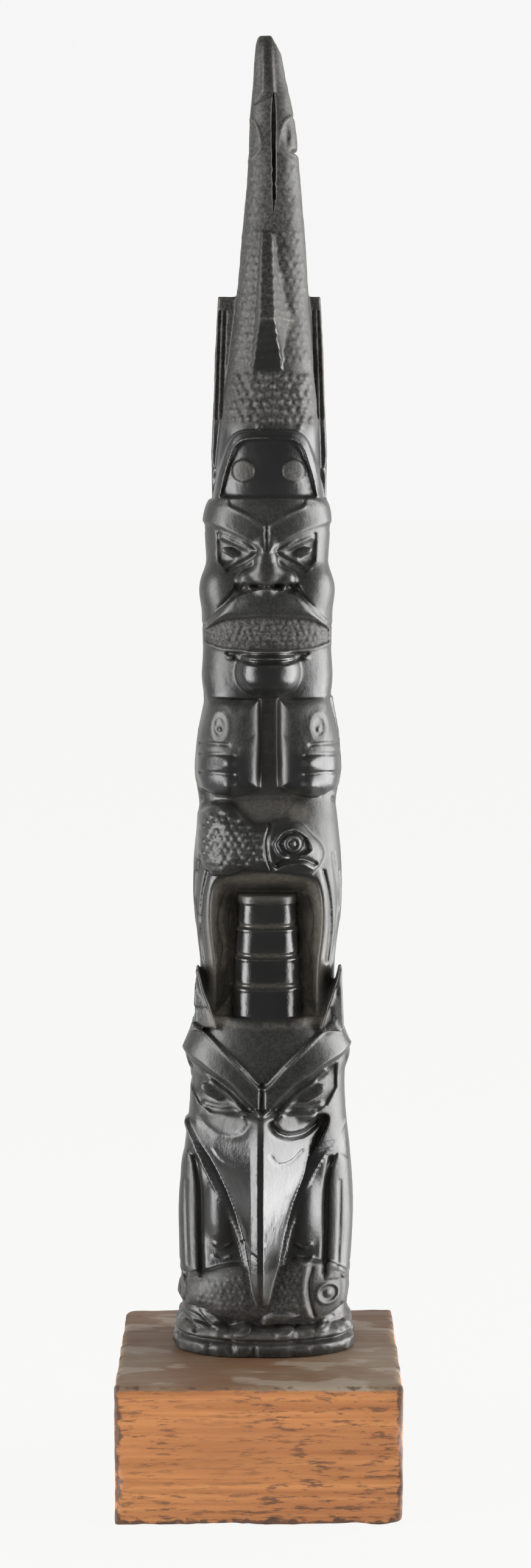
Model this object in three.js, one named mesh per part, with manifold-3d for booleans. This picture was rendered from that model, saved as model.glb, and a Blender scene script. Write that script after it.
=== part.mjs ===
// A small carved stone totem pole on a wooden block: a diving whale above a bear that holds a
// salmon, and a raven with a ringed hat that stands on a second fish.
// Millimetres, +Z up, front towards -Y. The origin is the centre of the block's underside.
import * as THREE from "three";
import { ConvexGeometry } from "three/addons/geometries/ConvexGeometry.js";
import { LoftGeometry } from "three/addons/geometries/LoftGeometry.js";
import { RoundedBoxGeometry } from "three/addons/geometries/RoundedBoxGeometry.js";
import { mergeVertices } from "three/addons/utils/BufferGeometryUtils.js";
import Module from "manifold-3d";

const wasm = await Module();
wasm.setup();

// Block and placing.
const BLOCK_SIDE = 85;
const BLOCK_HEIGHT = 42;
const BLOCK_ROUND = 1.6;
const POLE_X = 2;

// Section of the pole: an almost flat back and a rounded front.
const FRONT_POWER = 2.3;
const FRONT_STEPS = 16;
const SIDE_SHARE = 0.25;
const SHOULDER_SHARE = 0.46;
const BACK_CHAMFER = 1.6;
const FRONT_REACH = -60;

// The body under the carving. Each row is height, half width, front, back.
const BASE_PLATE = [
  [0, 27.2, -13.2, 24],
  [1, 27.8, -13.8, 24],
  [4.6, 27.7, -13.8, 24],
  [8.2, 26.4, -11.6, 24],
];
const RAVEN_BODY = [
  [5, 25, -8, 24],
  [26, 26, -7, 24],
  [43, 27.2, -7, 24],
  [60, 25.8, -8, 24],
  [72, 24.5, -9.5, 24],
  [84, 24, -10.5, 24],
  [91, 25, -11, 24],
  [98, 23.4, -10.5, 24],
  [103, 21.8, -8, 24],
];
const BEAR_LEGS = [
  [101.5, 21.4, -6, 24],
  [119, 21.5, -7, 24],
  [134, 23, -8.5, 24],
  [149, 22.8, -9, 24],
  [160, 21.6, -8, 24],
  [168, 20.4, -4, 23.5],
];
const BEAR_ARMS = [
  [166, 20.4, -3, 23.5],
  [176, 21.8, -5, 23.5],
  [188, 20.6, -5, 23],
  [197, 18.5, -5, 23],
];
const BEAR_HEAD = [
  [195, 18.4, -5, 23],
  [204, 19.7, -7.5, 22.5],
  [214, 19.3, -9.5, 22.5],
  [227, 19.6, -11.5, 22],
  [237, 18.3, -9.5, 22],
  [250, 18.7, -10.5, 21.5],
  [255, 18, -9.5, 21.5],
  [257.5, 16.4, -7, 21],
];
const WHALE_BODY = [
  [256, 15.8, -6, 21],
  [268, 15.6, -6.5, 21],
  [282, 14.6, -5.5, 20.5],
  [300, 12.6, -4, 19.5],
  [320, 10.6, -2.5, 18],
  [336, 9.4, -1.2, 17],
  [348, 8.3, -0.4, 16.4],
  [358, 7.4, 0.2, 16],
  [361, 7.6, 0.5, 15.8],
  [370, 6.9, 1.6, 15.2],
  [381, 5, 3.6, 14.2],
  [391, 3.2, 6, 13],
  [395, 1.6, 8, 11.6],
];
// Sideways drift of the middle of the pole, as height and offset.
const DRIFT = [
  [0, -0.5],
  [60, 0.5],
  [150, 0.6],
  [256, 0.6],
  [300, 1.8],
  [340, 2.4],
  [365, 2.2],
  [395, 0],
];

// Whale at the top.
const TAIL_SLIT = { x: 2.3, width: 1.2, bottom: 342, top: 377, depth: 6 };
const FIN = { width: 4.2, tip: 336.5, knee: 309.7, foot: 294.5, reach: -19 };
const SIDE_PLATE = { bottom: 250, top: 319, front: 6, back: 20.5 };
const HOOD = { bottom: 256.6, side: 268, top: 278.2, half: 16, rim: 2, depth: 1.8 };
const HOOD_BODY = [
  [256.4, 17, -10.6, 21],
  [270, 16.8, -11, 21],
  [279, 15.6, -9, 21],
];
const DISC = { z: 266.7, radius: 3.3, left: -6.8, right: 8.1, height: 1 };

// Raven's beak.
const BEAK_RIDGE = -1.5;
const BEAK_FLAT = 1.6;

// Bear's face.
const BROW_RISE = 2.6;
const SOCKET_DEPTH = 1.6;
const MOUTH_DEPTH = 2;
const TEETH = { count: 9, half: 15.4, bottom: 214.6, top: 223.4, back: 0, front: -10.8 };

// Hat of the raven, in its recess.
const HAT = { x: 0.5, y: 3, bottom: 101, top: 139.4, lowRadius: 11.2, highRadius: 8.4, rings: 4 };
const HAT_LIP = { above: 2.4, height: 1.2, bevel: 0.4, reach: 0.6 };
const NICHE = { half: 17.6, back: 10, bottom: 101.2, top: 146 };

const STONE_COLOUR = "#23262a";
const WOOD_COLOUR = "#b87b45";

function along(rows, z) {
  const last = rows.length - 1;
  if (z <= rows[0][0]) return rows[0].slice(1);
  if (z >= rows[last][0]) return rows[last].slice(1);
  const i = rows.findIndex((row) => row[0] > z);
  const t = (z - rows[i - 1][0]) / (rows[i][0] - rows[i - 1][0]);
  return rows[i].slice(1).map((value, k) => THREE.MathUtils.lerp(rows[i - 1][k + 1], value, t));
}

function driftAt(z) {
  return along(DRIFT, z)[0];
}

function solid(geometry) {
  const bare = new THREE.BufferGeometry();
  bare.setAttribute("position", geometry.getAttribute("position"));
  bare.setIndex(geometry.index);
  const merged = mergeVertices(bare, 1e-4);
  const mesh = new wasm.Mesh({
    numProp: 3,
    vertProperties: merged.attributes.position.array,
    triVerts: new Uint32Array(merged.index.array),
  });
  return new wasm.Manifold(mesh);
}

function union(solids) {
  return solids.reduce((sum, item) => sum.add(item));
}

// One level of the pole: rounded front, straight sides, chamfered back corners.
function section([z, half, front, back], grow) {
  const middle = driftAt(z);
  const wide = half + grow * SIDE_SHARE;
  const near = front - grow;
  const shoulder = THREE.MathUtils.lerp(front, back, SHOULDER_SHARE);
  const points = [];
  for (let i = 0; i <= FRONT_STEPS; i++) {
    const angle = (Math.PI * i) / FRONT_STEPS;
    const across = Math.abs(Math.cos(angle)) ** (2 / FRONT_POWER) * Math.sign(Math.cos(angle));
    const out = Math.sin(angle) ** (2 / FRONT_POWER);
    points.push([-across * wide, shoulder + (near - shoulder) * out]);
  }
  const cut = Math.min(BACK_CHAMFER, half / 2);
  points.push([wide, back - cut], [wide - cut, back], [cut - wide, back], [-wide, back - cut]);
  return points.map(([x, y]) => new THREE.Vector3(middle + x, y, z));
}

function body(rows, grow = 0) {
  const sections = rows.map((row) => section(row, grow));
  return solid(new LoftGeometry(sections, { capStart: true, capEnd: true }));
}

// How far forward the plain body reaches at a place in the front view.
function frontAt(rows, x, z) {
  const [half, front, back] = along(rows, z);
  const shoulder = THREE.MathUtils.lerp(front, back, SHOULDER_SHARE);
  const across = Math.min(Math.abs(x - driftAt(z)) / half, 1);
  return shoulder + (front - shoulder) * (1 - across ** FRONT_POWER) ** (1 / FRONT_POWER);
}

// A round form; with a squareness below 1 it fills its box more, like a pad.
function ellipsoid(centre, radii, { turn = 0, sides = 12, square = 1 } = {}) {
  const shape = new THREE.SphereGeometry(1, sides, Math.round(sides * 0.7));
  shape.rotateX(Math.PI / 2);
  const { array } = shape.getAttribute("position");
  array.forEach((value, i) => {
    array[i] = Math.sign(value) * Math.abs(value) ** square;
  });
  shape.scale(...radii);
  shape.rotateY(turn);
  shape.translate(...centre);
  return solid(shape);
}

function hull(points) {
  return solid(new ConvexGeometry(points.map((point) => new THREE.Vector3(...point))));
}

// An outline drawn in the front view, carried back from one depth to another.
function slab(outline, near, far) {
  const shape = new THREE.Shape(outline.map(([x, z]) => new THREE.Vector2(x, z)));
  const block = new THREE.ExtrudeGeometry(shape, { depth: far - near, bevelEnabled: false });
  block.rotateX(Math.PI / 2);
  block.translate(0, far, 0);
  return solid(block);
}

function smooth(points, steps) {
  const curve = new THREE.SplineCurve(points.map(([x, z]) => new THREE.Vector2(x, z)));
  return curve.getPoints(steps).map((point) => [point.x, point.y]);
}

function mirrored(points, middle) {
  return points.map(([x, ...rest]) => [2 * middle - x, ...rest]);
}

// Relief that follows the body: the outline stands out, or goes in, by an even amount.
function raised(rows, outline, amount) {
  const [, , back] = along(rows, outline[0][1]);
  return slab(outline, FRONT_REACH, back / 2).intersect(body(rows, amount));
}

function sunk(rows, outline, amount) {
  const [, , back] = along(rows, outline[0][1]);
  return slab(outline, FRONT_REACH, back / 2).subtract(body(rows, -amount));
}

// A limb or a fish: oval sections along a route of [x, y, z, half height, half depth].
function limb(route, sides = 12) {
  const curve = new THREE.CatmullRomCurve3(route.map(([x, y, z]) => new THREE.Vector3(x, y, z)));
  const sections = route.map(([x, y, z, high, deep], i) => {
    const travel = curve.getTangent(i / (route.length - 1));
    const up = new THREE.Vector3(-travel.z, 0, travel.x).normalize();
    const out = new THREE.Vector3().crossVectors(travel, up).normalize();
    const ring = [];
    for (let k = 0; k < sides; k++) {
      const angle = (2 * Math.PI * k) / sides;
      const point = new THREE.Vector3(x, y, z);
      point.addScaledVector(up, Math.cos(angle) * high);
      point.addScaledVector(out, Math.sin(angle) * deep);
      ring.push(point);
    }
    return ring;
  });
  const made = solid(new LoftGeometry(sections, { capStart: true, capEnd: true }));
  if (made.volume() > 0) return made;
  sections.forEach((ring) => ring.reverse());
  return solid(new LoftGeometry(sections, { capStart: true, capEnd: true }));
}

function ravenFish() {
  const y = -7;
  const route = [
    [-27, 4, 19, 4.4, 3],
    [-24, -1, 19, 4.2, 4.5],
    [-18, -5, 19.2, 7, 6],
    [-9, y, 19.6, 9, 7],
    [2, y - 1, 19, 9.2, 7.2],
    [12, y, 19.2, 9.4, 7],
    [20, -4.5, 19.2, 7.6, 6],
    [25, 0, 18.6, 4.6, 4.4],
    [26.6, 4, 18.4, 3, 3],
  ];
  const eye = solid(new THREE.CylinderGeometry(2.6, 2.8, 6, 14));
  return limb(route).add(eye.translate([18.6, -8.6, 19]));
}

function ravenWings() {
  const radii = [4.6, 11, 20];
  const wing = ellipsoid([-23, 3, 42.5], radii, { square: 0.8 });
  return wing.add(ellipsoid([23.5, 3, 42.5], radii, { square: 0.8 }));
}

function ravenBreast() {
  const radii = [7.6, 10.6, 16];
  const left = ellipsoid([-12.6, 1, 42], radii, { square: 0.8 });
  return left.add(ellipsoid([13.6, 1, 42], radii, { square: 0.8 }));
}

// Each station holds height, left edge, right edge, depth of the edges, depth of the ridge.
function beakSections(shapeOf) {
  const stations = [
    [17, -3, 1.4, -12.4, -14.8],
    [24, -4.5, 3, -11.4, -18.8],
    [31, -5.7, 4.4, -10.6, -20.5],
    [46, -9.8, 8, -9.4, -22],
    [55, -13.8, 11.5, -7.6, -21.8],
    [60, -16.7, 12.9, -6, -20.9],
    [65, -20.2, 16.2, -3, -19.4],
    [70, -23.1, 21.4, 1.6, -17.4],
    [75.5, -24, 24.2, 4, -14.4],
  ];
  const sections = stations.map(([z, left, right, edge, front]) =>
    shapeOf(left, right, edge, front).map(([x, y]) => new THREE.Vector3(x, y, z)),
  );
  return solid(new LoftGeometry(sections, { capStart: true, capEnd: true }));
}

function ravenBeak() {
  const inside = 8;
  return beakSections((left, right, edge, front) => [
    [left, inside],
    [left, edge],
    [BEAK_RIDGE - BEAK_FLAT / 2, front],
    [BEAK_RIDGE + BEAK_FLAT / 2, front],
    [right, edge],
    [right, inside],
  ]);
}

// What is cut away in front of the beak's faces.
function beakSpace() {
  return beakSections((left, right, edge, front) => [
    [left, FRONT_REACH],
    [left, edge],
    [BEAK_RIDGE - BEAK_FLAT / 2, front],
    [BEAK_RIDGE + BEAK_FLAT / 2, front],
    [right, edge],
    [right, FRONT_REACH],
  ].reverse());
}

function ravenCheeks() {
  const radii = [8.6, 4.4, 2.9];
  return ellipsoid([-11, -6.6, 69.9], radii).add(ellipsoid([9.8, -6.6, 69.9], radii));
}

function ravenBrows() {
  const brow = [
    [-20.6, 101],
    [-1, 82.6],
    [-1, 76],
    [-3.3, 75],
    [-9, 83.4],
    [-22.6, 89.6],
    [-27, 93],
    [-24, 101],
  ];
  return raised(RAVEN_BODY, brow, 2.6).add(raised(RAVEN_BODY, mirrored(brow, -0.2), 2.6));
}

function ravenSockets() {
  const socket = [
    [-21, 87.5],
    [-9, 82.5],
    [-5.6, 76.5],
    [-10, 75],
    [-18, 75.5],
    [-22, 80],
  ];
  return sunk(RAVEN_BODY, socket, 2).add(sunk(RAVEN_BODY, mirrored(socket, -0.2), 2));
}

function ravenEyes() {
  const tilt = 0.3;
  const y = frontAt(RAVEN_BODY, 14, 80.5) + 1;
  return ellipsoid([-14.4, y, 80.5], [5.4, 2.4, 3], { turn: tilt }).add(
    ellipsoid([14, y, 80.5], [5.4, 2.4, 3], { turn: -tilt }),
  );
}

function ravenEars() {
  const ear = [
    [-21.8, 0, 119.4],
    [-19, -1, 119],
    [-19.5, 3, 118.8],
    [-22.4, 0, 101],
    [-21, -7, 100.5],
    [-13.2, -10, 101],
    [-16, 4, 101],
    [-20, 6, 101],
  ];
  return hull(ear).add(hull(mirrored(ear, 0.6)));
}

function hat() {
  const profile = [new THREE.Vector2(0, HAT.bottom)];
  const pitch = (HAT.top - HAT.bottom - HAT_LIP.above) / HAT.rings;
  const radiusAt = (z) =>
    THREE.MathUtils.mapLinear(z, HAT.bottom, HAT.top, HAT.lowRadius, HAT.highRadius);
  for (let ring = 0; ring < HAT.rings; ring++) {
    const low = HAT.bottom + ring * pitch;
    const high = low + pitch;
    const proud = radiusAt(high) + HAT_LIP.reach;
    profile.push(new THREE.Vector2(radiusAt(low), low));
    profile.push(new THREE.Vector2(radiusAt(high), high - HAT_LIP.height - HAT_LIP.bevel));
    profile.push(new THREE.Vector2(proud, high - HAT_LIP.height));
    profile.push(new THREE.Vector2(proud, high));
  }
  profile.push(new THREE.Vector2(HAT.highRadius + HAT_LIP.reach, HAT.top));
  profile.push(new THREE.Vector2(0, HAT.top));
  const turned = new THREE.LatheGeometry(profile, 24);
  turned.rotateX(Math.PI / 2);
  turned.translate(HAT.x, HAT.y, 0);
  return solid(turned);
}

function niche() {
  const half = NICHE.half;
  const outline = [
    [-half - 1, NICHE.bottom],
    [half + 1, NICHE.bottom],
    ...smooth(
      [
        [half + 0.4, 128],
        [half - 1.6, 139],
        [half - 7, NICHE.top - 0.6],
        [0, NICHE.top],
        [7 - half, NICHE.top - 0.6],
        [1.6 - half, 139],
        [-half - 0.4, 128],
      ],
      14,
    ),
  ];
  return slab(outline, FRONT_REACH, NICHE.back);
}

function salmon() {
  const route = [
    [-20.6, 3, 157, 10, 4],
    [-17.4, -3, 157.4, 12, 5.4],
    [-9, -6, 158.6, 9.6, 6],
    [0, -7.4, 155.4, 7.2, 6],
    [8, -7.6, 154.4, 8.2, 6.4],
    [14.5, -5, 152.6, 7, 5.6],
    [18.6, -1, 151.4, 3.6, 3.8],
  ];
  const eye = solid(new THREE.CylinderGeometry(3.2, 3.4, 5, 14));
  return limb(route).add(eye.translate([7.6, -11.8, 156.2]));
}

// Forearms that hang side by side, each ending in a broad paw.
function paws() {
  const middle = 0.9;
  const forearm = [
    [-10.8, 2, 186.4],
    [9, 13, 14.6],
  ];
  const paw = [
    [-11.6, 0, 176.6],
    [9.2, 12.6, 6.6],
  ];
  return union(
    [forearm, paw].flatMap(([centre, radii]) => [
      ellipsoid(centre, radii, { square: 0.72 }),
      ellipsoid([2 * middle - centre[0], centre[1], centre[2]], radii, { square: 0.72 }),
    ]),
  );
}

function bearJaw() {
  const chin = ellipsoid([0.4, -4, 208.6], [9.8, 12, 9.4]);
  const lip = limb(
    [
      [-18, 0, 216, 1.6, 2.2],
      [-11, -7.8, 213.8, 2, 3],
      [0.4, -11.6, 212.8, 2.2, 3],
      [12, -7.8, 213.8, 2, 3],
      [19, 0, 216, 1.6, 2.2],
    ],
    8,
  );
  return chin.add(lip);
}

function bearMuzzle() {
  const lip = limb(
    [
      [-18.4, 0, 219.8, 1.6, 2.4],
      [-12.4, -7.6, 225, 3, 3.6],
      [-5.6, -10.6, 227.4, 3.8, 4.2],
      [0.4, -11.6, 228, 4, 4.4],
      [6.4, -10.6, 227.4, 3.8, 4.2],
      [13.2, -7.6, 225, 3, 3.6],
      [19.2, 0, 219.8, 1.6, 2.4],
    ],
    10,
  );
  const cheek = ellipsoid([-12.2, -0.4, 233.4], [7, 9.4, 6]);
  return lip.add(cheek).add(ellipsoid([13, -0.4, 233.4], [7, 9.4, 6]));
}

function bearMouth() {
  const outline = [
    ...smooth(
      [
        [-18.4, 219.6],
        [-11.6, 223.4],
        [0.4, 224],
        [12.4, 223.4],
        [19.2, 219.6],
      ],
      10,
    ),
    ...smooth(
      [
        [12.4, 214.6],
        [0.4, 213.8],
        [-11.6, 214.6],
      ],
      8,
    ),
  ];
  return sunk(BEAR_HEAD, outline, MOUTH_DEPTH);
}

// Interlocking teeth: pointed upper teeth between pointed lower ones.
function bearTeeth() {
  const step = (2 * TEETH.half) / TEETH.count;
  const teeth = [];
  for (let i = 0; i < TEETH.count; i++) {
    const left = 0.4 - TEETH.half + i * step;
    const upper = i % 2 === 0;
    const base = upper ? TEETH.top : TEETH.bottom;
    const point = upper ? TEETH.bottom + 1.6 : TEETH.top - 1.6;
    teeth.push([
      [left + 0.2, base],
      [left + step - 0.2, base],
      [left + step / 2, point],
    ]);
  }
  return union(teeth.map((outline) => slab(outline, TEETH.front, TEETH.back)));
}

function bearNose() {
  const points = [
    [-1.6, -11, 244],
    [2.4, -11, 244],
    [0.4, -14, 239],
    [0.4, -17.6, 234.4],
    [-5.4, -13.4, 235.4],
    [6.2, -13.4, 235.4],
    [-7.2, -10, 232],
    [8, -10, 232],
    [-4, -14.6, 231.6],
    [4.8, -14.6, 231.6],
  ];
  return hull(points);
}

function bearBrows() {
  const brow = [
    [-20, 250],
    [-15.4, 250.4],
    [-9.7, 249],
    [-2, 243],
    [0.4, 242.6],
    [0.4, 249],
    [-10.6, 255],
    [-20, 254],
  ];
  const left = raised(BEAR_HEAD, brow, BROW_RISE);
  return left.add(raised(BEAR_HEAD, mirrored(brow, 0.4), BROW_RISE));
}

function bearSockets() {
  const socket = [
    [-16.5, 248],
    [-9.5, 246.6],
    [-3.2, 241.6],
    [-6.6, 239],
    [-12.6, 237.4],
    [-17, 242],
  ];
  const left = sunk(BEAR_HEAD, socket, SOCKET_DEPTH);
  return left.add(sunk(BEAR_HEAD, mirrored(socket, 0.4), SOCKET_DEPTH));
}

function bearEyes() {
  const x = -10.2;
  const z = 242.6;
  const y = frontAt(BEAR_HEAD, x, z) + 0.6;
  return ellipsoid([x, y, z], [5, 2.4, 3.1], { turn: 0.38 }).add(
    ellipsoid([0.8 - x, y, z], [5, 2.4, 3.1], { turn: -0.38 }),
  );
}

function hood() {
  const arch = (inset) => {
    const half = HOOD.half - inset;
    const top = HOOD.top - inset;
    const points = smooth(
      [
        [half, HOOD.bottom + 3],
        [half - 1.6, HOOD.side],
        [half - 4.4, top - 1],
        [0, top],
        [4.4 - half, top - 1],
        [1.6 - half, HOOD.side],
        [-half, HOOD.bottom + 3],
      ],
      14,
    );
    return [[-half, HOOD.bottom], [half, HOOD.bottom], ...points].map(([x, z]) => [x + 1, z]);
  };
  const block = slab(arch(0), FRONT_REACH, 8).intersect(body(HOOD_BODY));
  const field = slab(arch(HOOD.rim), FRONT_REACH, 8).subtract(body(HOOD_BODY, -HOOD.depth));
  const discs = [DISC.left, DISC.right].map((x) => {
    const disc = new THREE.CylinderGeometry(DISC.radius, DISC.radius, 6, 18);
    const y = frontAt(HOOD_BODY, x, DISC.z) + HOOD.depth - DISC.height;
    return solid(disc.translate(x, y + 3, DISC.z));
  });
  return block.subtract(field).add(union(discs));
}

function sidePlates() {
  const { bottom, top, front, back } = SIDE_PLATE;
  const left = [
    [-16.8, bottom],
    [-16.4, 286],
    [-13.2, top - 8],
    [-12.2, top],
    [-8, top],
    [-8, bottom],
  ];
  const right = [
    [18.2, bottom],
    [18.8, 286],
    [18.2, top - 8],
    [17.2, top],
    [12, top],
    [12, bottom],
  ];
  return slab(left, front, back).add(slab(right, front, back));
}

function fin() {
  const x = 0.4;
  const half = FIN.width / 2;
  const blade = [
    [x - half + 0.6, -3, FIN.tip],
    [x + half - 0.6, -3, FIN.tip],
    [x - half, -5, FIN.tip - 2.5],
    [x + half, -5, FIN.tip - 2.5],
    [x - half, FIN.reach, FIN.knee],
    [x + half, FIN.reach, FIN.knee],
    [x - half - 2.4, -4, FIN.foot],
    [x + half + 3, -4, FIN.foot],
    [x - half - 1, 2, FIN.tip - 8],
    [x + half + 4, 2, FIN.tip - 8],
    [x - half - 3, 2, FIN.foot],
    [x + half + 6, 2, FIN.foot],
  ];
  return hull(blade);
}

function tailSlit() {
  const { x, width, bottom, top, depth } = TAIL_SLIT;
  const outline = [
    [x - width / 2, bottom + 4],
    [x, bottom],
    [x + width / 2, bottom + 4],
    [x + width / 2, top - 4],
    [x, top],
    [x - width / 2, top - 4],
  ];
  return slab(outline, FRONT_REACH, depth);
}

function brokenTip() {
  return slab(
    [
      [2.4, 396],
      [4, 391.6],
      [8, 388],
      [8, 396],
    ],
    FRONT_REACH,
    -FRONT_REACH,
  );
}

function pole() {
  const bodies = union([
    body(BASE_PLATE),
    body(RAVEN_BODY),
    body(BEAR_LEGS),
    body(BEAR_ARMS),
    body(BEAR_HEAD),
    body(WHALE_BODY),
    sidePlates(),
  ]);
  const whale = union([hood(), fin()]);
  const bear = union([bearBrows(), bearJaw(), bearMuzzle(), bearNose(), paws(), salmon()]);
  const raven = union([ravenWings(), ravenBreast(), ravenFish()]).subtract(beakSpace());
  const ravenHead = union([ravenBrows(), ravenBeak(), ravenCheeks(), ravenEars(), hat()]);
  return bodies
    .subtract(niche())
    .subtract(beakSpace())
    .subtract(bearSockets())
    .subtract(ravenSockets())
    .add(union([whale, bear, raven, ravenHead]))
    .subtract(bearMouth())
    .add(union([bearTeeth(), bearEyes(), ravenEyes()]))
    .subtract(tailSlit())
    .subtract(brokenTip());
}

function meshOf(name, made, colour, roughness) {
  const { vertProperties, triVerts } = made.getMesh();
  const geometry = new THREE.BufferGeometry();
  geometry.setAttribute("position", new THREE.BufferAttribute(vertProperties, 3));
  geometry.setIndex(new THREE.BufferAttribute(triVerts, 1));
  geometry.computeVertexNormals();
  const material = new THREE.MeshStandardMaterial({ color: colour, roughness, metalness: 0 });
  const mesh = new THREE.Mesh(geometry, material);
  mesh.name = name;
  return mesh;
}

const totem = new THREE.Group();

const stone = meshOf("argillite_pole", pole(), STONE_COLOUR, 0.3);
stone.position.set(POLE_X, 0, BLOCK_HEIGHT);
totem.add(stone);

const woodMaterial = new THREE.MeshStandardMaterial({
  color: WOOD_COLOUR,
  roughness: 0.6,
  metalness: 0,
});
const block = new THREE.Mesh(
  new RoundedBoxGeometry(BLOCK_SIDE, BLOCK_SIDE, BLOCK_HEIGHT, 2, BLOCK_ROUND),
  woodMaterial,
);
block.name = "wood_block";
block.position.z = BLOCK_HEIGHT / 2;
totem.add(block);

export default totem;
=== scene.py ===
"""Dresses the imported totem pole: the carved stone is sculpted as a distance field and skinned,
and the wooden block gets worn edges and its own grain. Lengths are millimetres until they reach
Blender, with the front towards -Y. Heights in the sculpture are counted from the block's top, and
a point of the front view is [x, height]."""

import bpy
import numpy as np
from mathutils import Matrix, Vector


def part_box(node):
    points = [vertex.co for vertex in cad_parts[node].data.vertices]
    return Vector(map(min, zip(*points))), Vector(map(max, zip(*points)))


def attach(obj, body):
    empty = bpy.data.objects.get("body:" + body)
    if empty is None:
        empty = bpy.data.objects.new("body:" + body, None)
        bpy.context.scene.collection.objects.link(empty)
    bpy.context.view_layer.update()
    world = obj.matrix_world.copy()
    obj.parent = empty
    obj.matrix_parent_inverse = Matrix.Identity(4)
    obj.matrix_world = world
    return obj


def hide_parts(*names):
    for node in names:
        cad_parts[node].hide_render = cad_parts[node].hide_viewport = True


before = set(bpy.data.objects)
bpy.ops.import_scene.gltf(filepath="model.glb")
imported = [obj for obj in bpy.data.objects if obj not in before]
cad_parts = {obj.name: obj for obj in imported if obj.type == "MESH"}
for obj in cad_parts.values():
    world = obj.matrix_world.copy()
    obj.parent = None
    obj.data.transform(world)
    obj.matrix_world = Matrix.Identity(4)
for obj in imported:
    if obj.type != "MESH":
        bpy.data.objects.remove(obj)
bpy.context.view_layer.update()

MM = 0.001
STEP = 0.4
POLE_TRIANGLES = 192_000
BLOCK_TRIANGLES = 40_000
RELIEF_STEP = 0.2
TONE_STEP = 0.4

# How far from a surface its distance is followed, and how far round a shape the clay is worked.
FAR = 9
MARGIN = 3.0

LAMP_AIM = (0, 0, 0.2)

# Where the pole stands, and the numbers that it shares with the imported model.
POLE_X = 2.0
BLOCK_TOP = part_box("wood_block")[1][2] / MM
FRONT_POWER = 2.3
SHOULDER_SHARE = 0.46
BACK_ROUNDING = 2.0
END_ROUNDING = 1.0

# The body under the carving. Each row is height, half width, front, back.
BASE_PLATE = [
    [-1, 27, -13, 24],
    [0.6, 27.7, -13.7, 24],
    [3.4, 27.7, -13.7, 24],
    [4.5, 26.6, -12.6, 24],
    [5.4, 27.2, -13.2, 24],
    [7.0, 26.8, -12.6, 24],
    [8.4, 25.6, -11.2, 24],
]
RAVEN_BODY = [
    [5, 25, -7.4, 24],
    [26, 26, -7, 24],
    [43, 26.6, -7, 24],
    [60, 25.4, -8, 24],
    [72, 24, -9.5, 24],
    [84, 23.6, -10.5, 24],
    [91.5, 25.1, -11, 24],
    [98, 23.2, -10.2, 24],
    [103, 21.4, -8, 24],
]
BEAR_LEGS = [
    [100, 20.4, -5, 24],
    [119, 20.6, -7, 24],
    [134, 22.4, -8.5, 24],
    [149, 22.4, -9, 24],
    [160, 21.4, -8, 24],
    [169, 20.4, -4, 23.5],
]
BEAR_ARMS = [[166, 20.4, -3, 23.5], [176, 22, -5, 23.5], [188, 20.8, -5, 23], [198, 18.5, -5, 23]]
BEAR_HEAD = [
    [195, 18.4, -5, 23],
    [204, 19.7, -7.5, 22.5],
    [214, 19.3, -9.5, 22.5],
    [227, 19.6, -11.5, 22],
    [237, 18.3, -10, 22],
    [250, 18.8, -11, 21.5],
    [255.6, 18.3, -11, 21.5],
    [258.2, 17.4, -10.2, 21],
]
WHALE_BODY = [
    [254, 15.8, -6, 21],
    [268, 15.6, -6.5, 21],
    [282, 14.6, -5.5, 20.5],
    [300, 12.6, -4, 19.5],
    [320, 10.6, -2.5, 18],
    [336, 9.4, -1.2, 17],
    [348, 8.3, -0.4, 16.4],
    [358, 7.5, 0.2, 16],
    [370, 6.7, 1.6, 15.2],
    [381, 5, 3.6, 14.2],
    [391, 3.7, 6, 13],
    [395, 2.3, 8, 11.6],
]
HOOD_BODY = [[256.4, 17, -10.6, 21], [270, 16.8, -11, 21], [279, 15.6, -9, 21]]

# Where the middle of the body lies across, with height.
DRIFT = [[0, -0.5], [60, 0.5], [150, 0.6], [256, 0.6], [300, 1.8], [340, 2.4], [365, 2.2]]
DRIFT += [[391, 0.6], [395, 0.2]]


# ---- Distance shapes -----------------------------------------------------------------------


def along(rows, z):
    """The columns of a table of rows, eased between its heights by a cubic curve."""
    rows = np.asarray(rows, float)
    heights = rows[:, 0]
    last = len(heights) - 1
    i = np.clip(np.searchsorted(heights, z) - 1, 0, last - 1)
    span = heights[i + 1] - heights[i]
    t = np.clip((z - heights[i]) / span, 0, 1)
    before = np.maximum(i - 1, 0)
    after = np.minimum(i + 2, last)
    columns = []
    for column in rows.T[1:]:
        a, b = column[i], column[i + 1]
        slope_a = (b - column[before]) / (heights[i + 1] - heights[before]) * span
        slope_b = (column[after] - a) / (heights[after] - heights[i]) * span
        t2, t3 = t * t, t * t * t
        columns.append(
            a * (2 * t3 - 3 * t2 + 1)
            + slope_a * (t3 - 2 * t2 + t)
            + b * (3 * t2 - 2 * t3)
            + slope_b * (t3 - t2)
        )
    return columns


def smooth_step(low, high, value):
    share = np.clip((value - low) / (high - low), 0, 1)
    return share * share * (3 - 2 * share)


def soft_min(a, b, blend):
    """The nearer of two distances, with the crease between them filled over a blend width."""
    mix = np.clip(0.5 + 0.5 * (b - a) / blend, 0, 1)
    return b + (a - b) * mix - blend * mix * (1 - mix)


def soft_max(a, b, blend):
    return -soft_min(-a, -b, blend)


def to_oval(shares, radii, power, least=0.1):
    """Distance to a rounded form, from how far out a point lies along each of its radii."""
    radius = np.maximum(sum(share**power for share in shares) ** (1 / power), least)
    slope = np.sqrt(sum((share ** (power - 1) / r) ** 2 for share, r in zip(shares, radii)))
    slope = np.maximum(slope, 1e-4) * radius ** (1 - power)
    return np.clip((radius - 1) / slope, -FAR, FAR)


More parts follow.
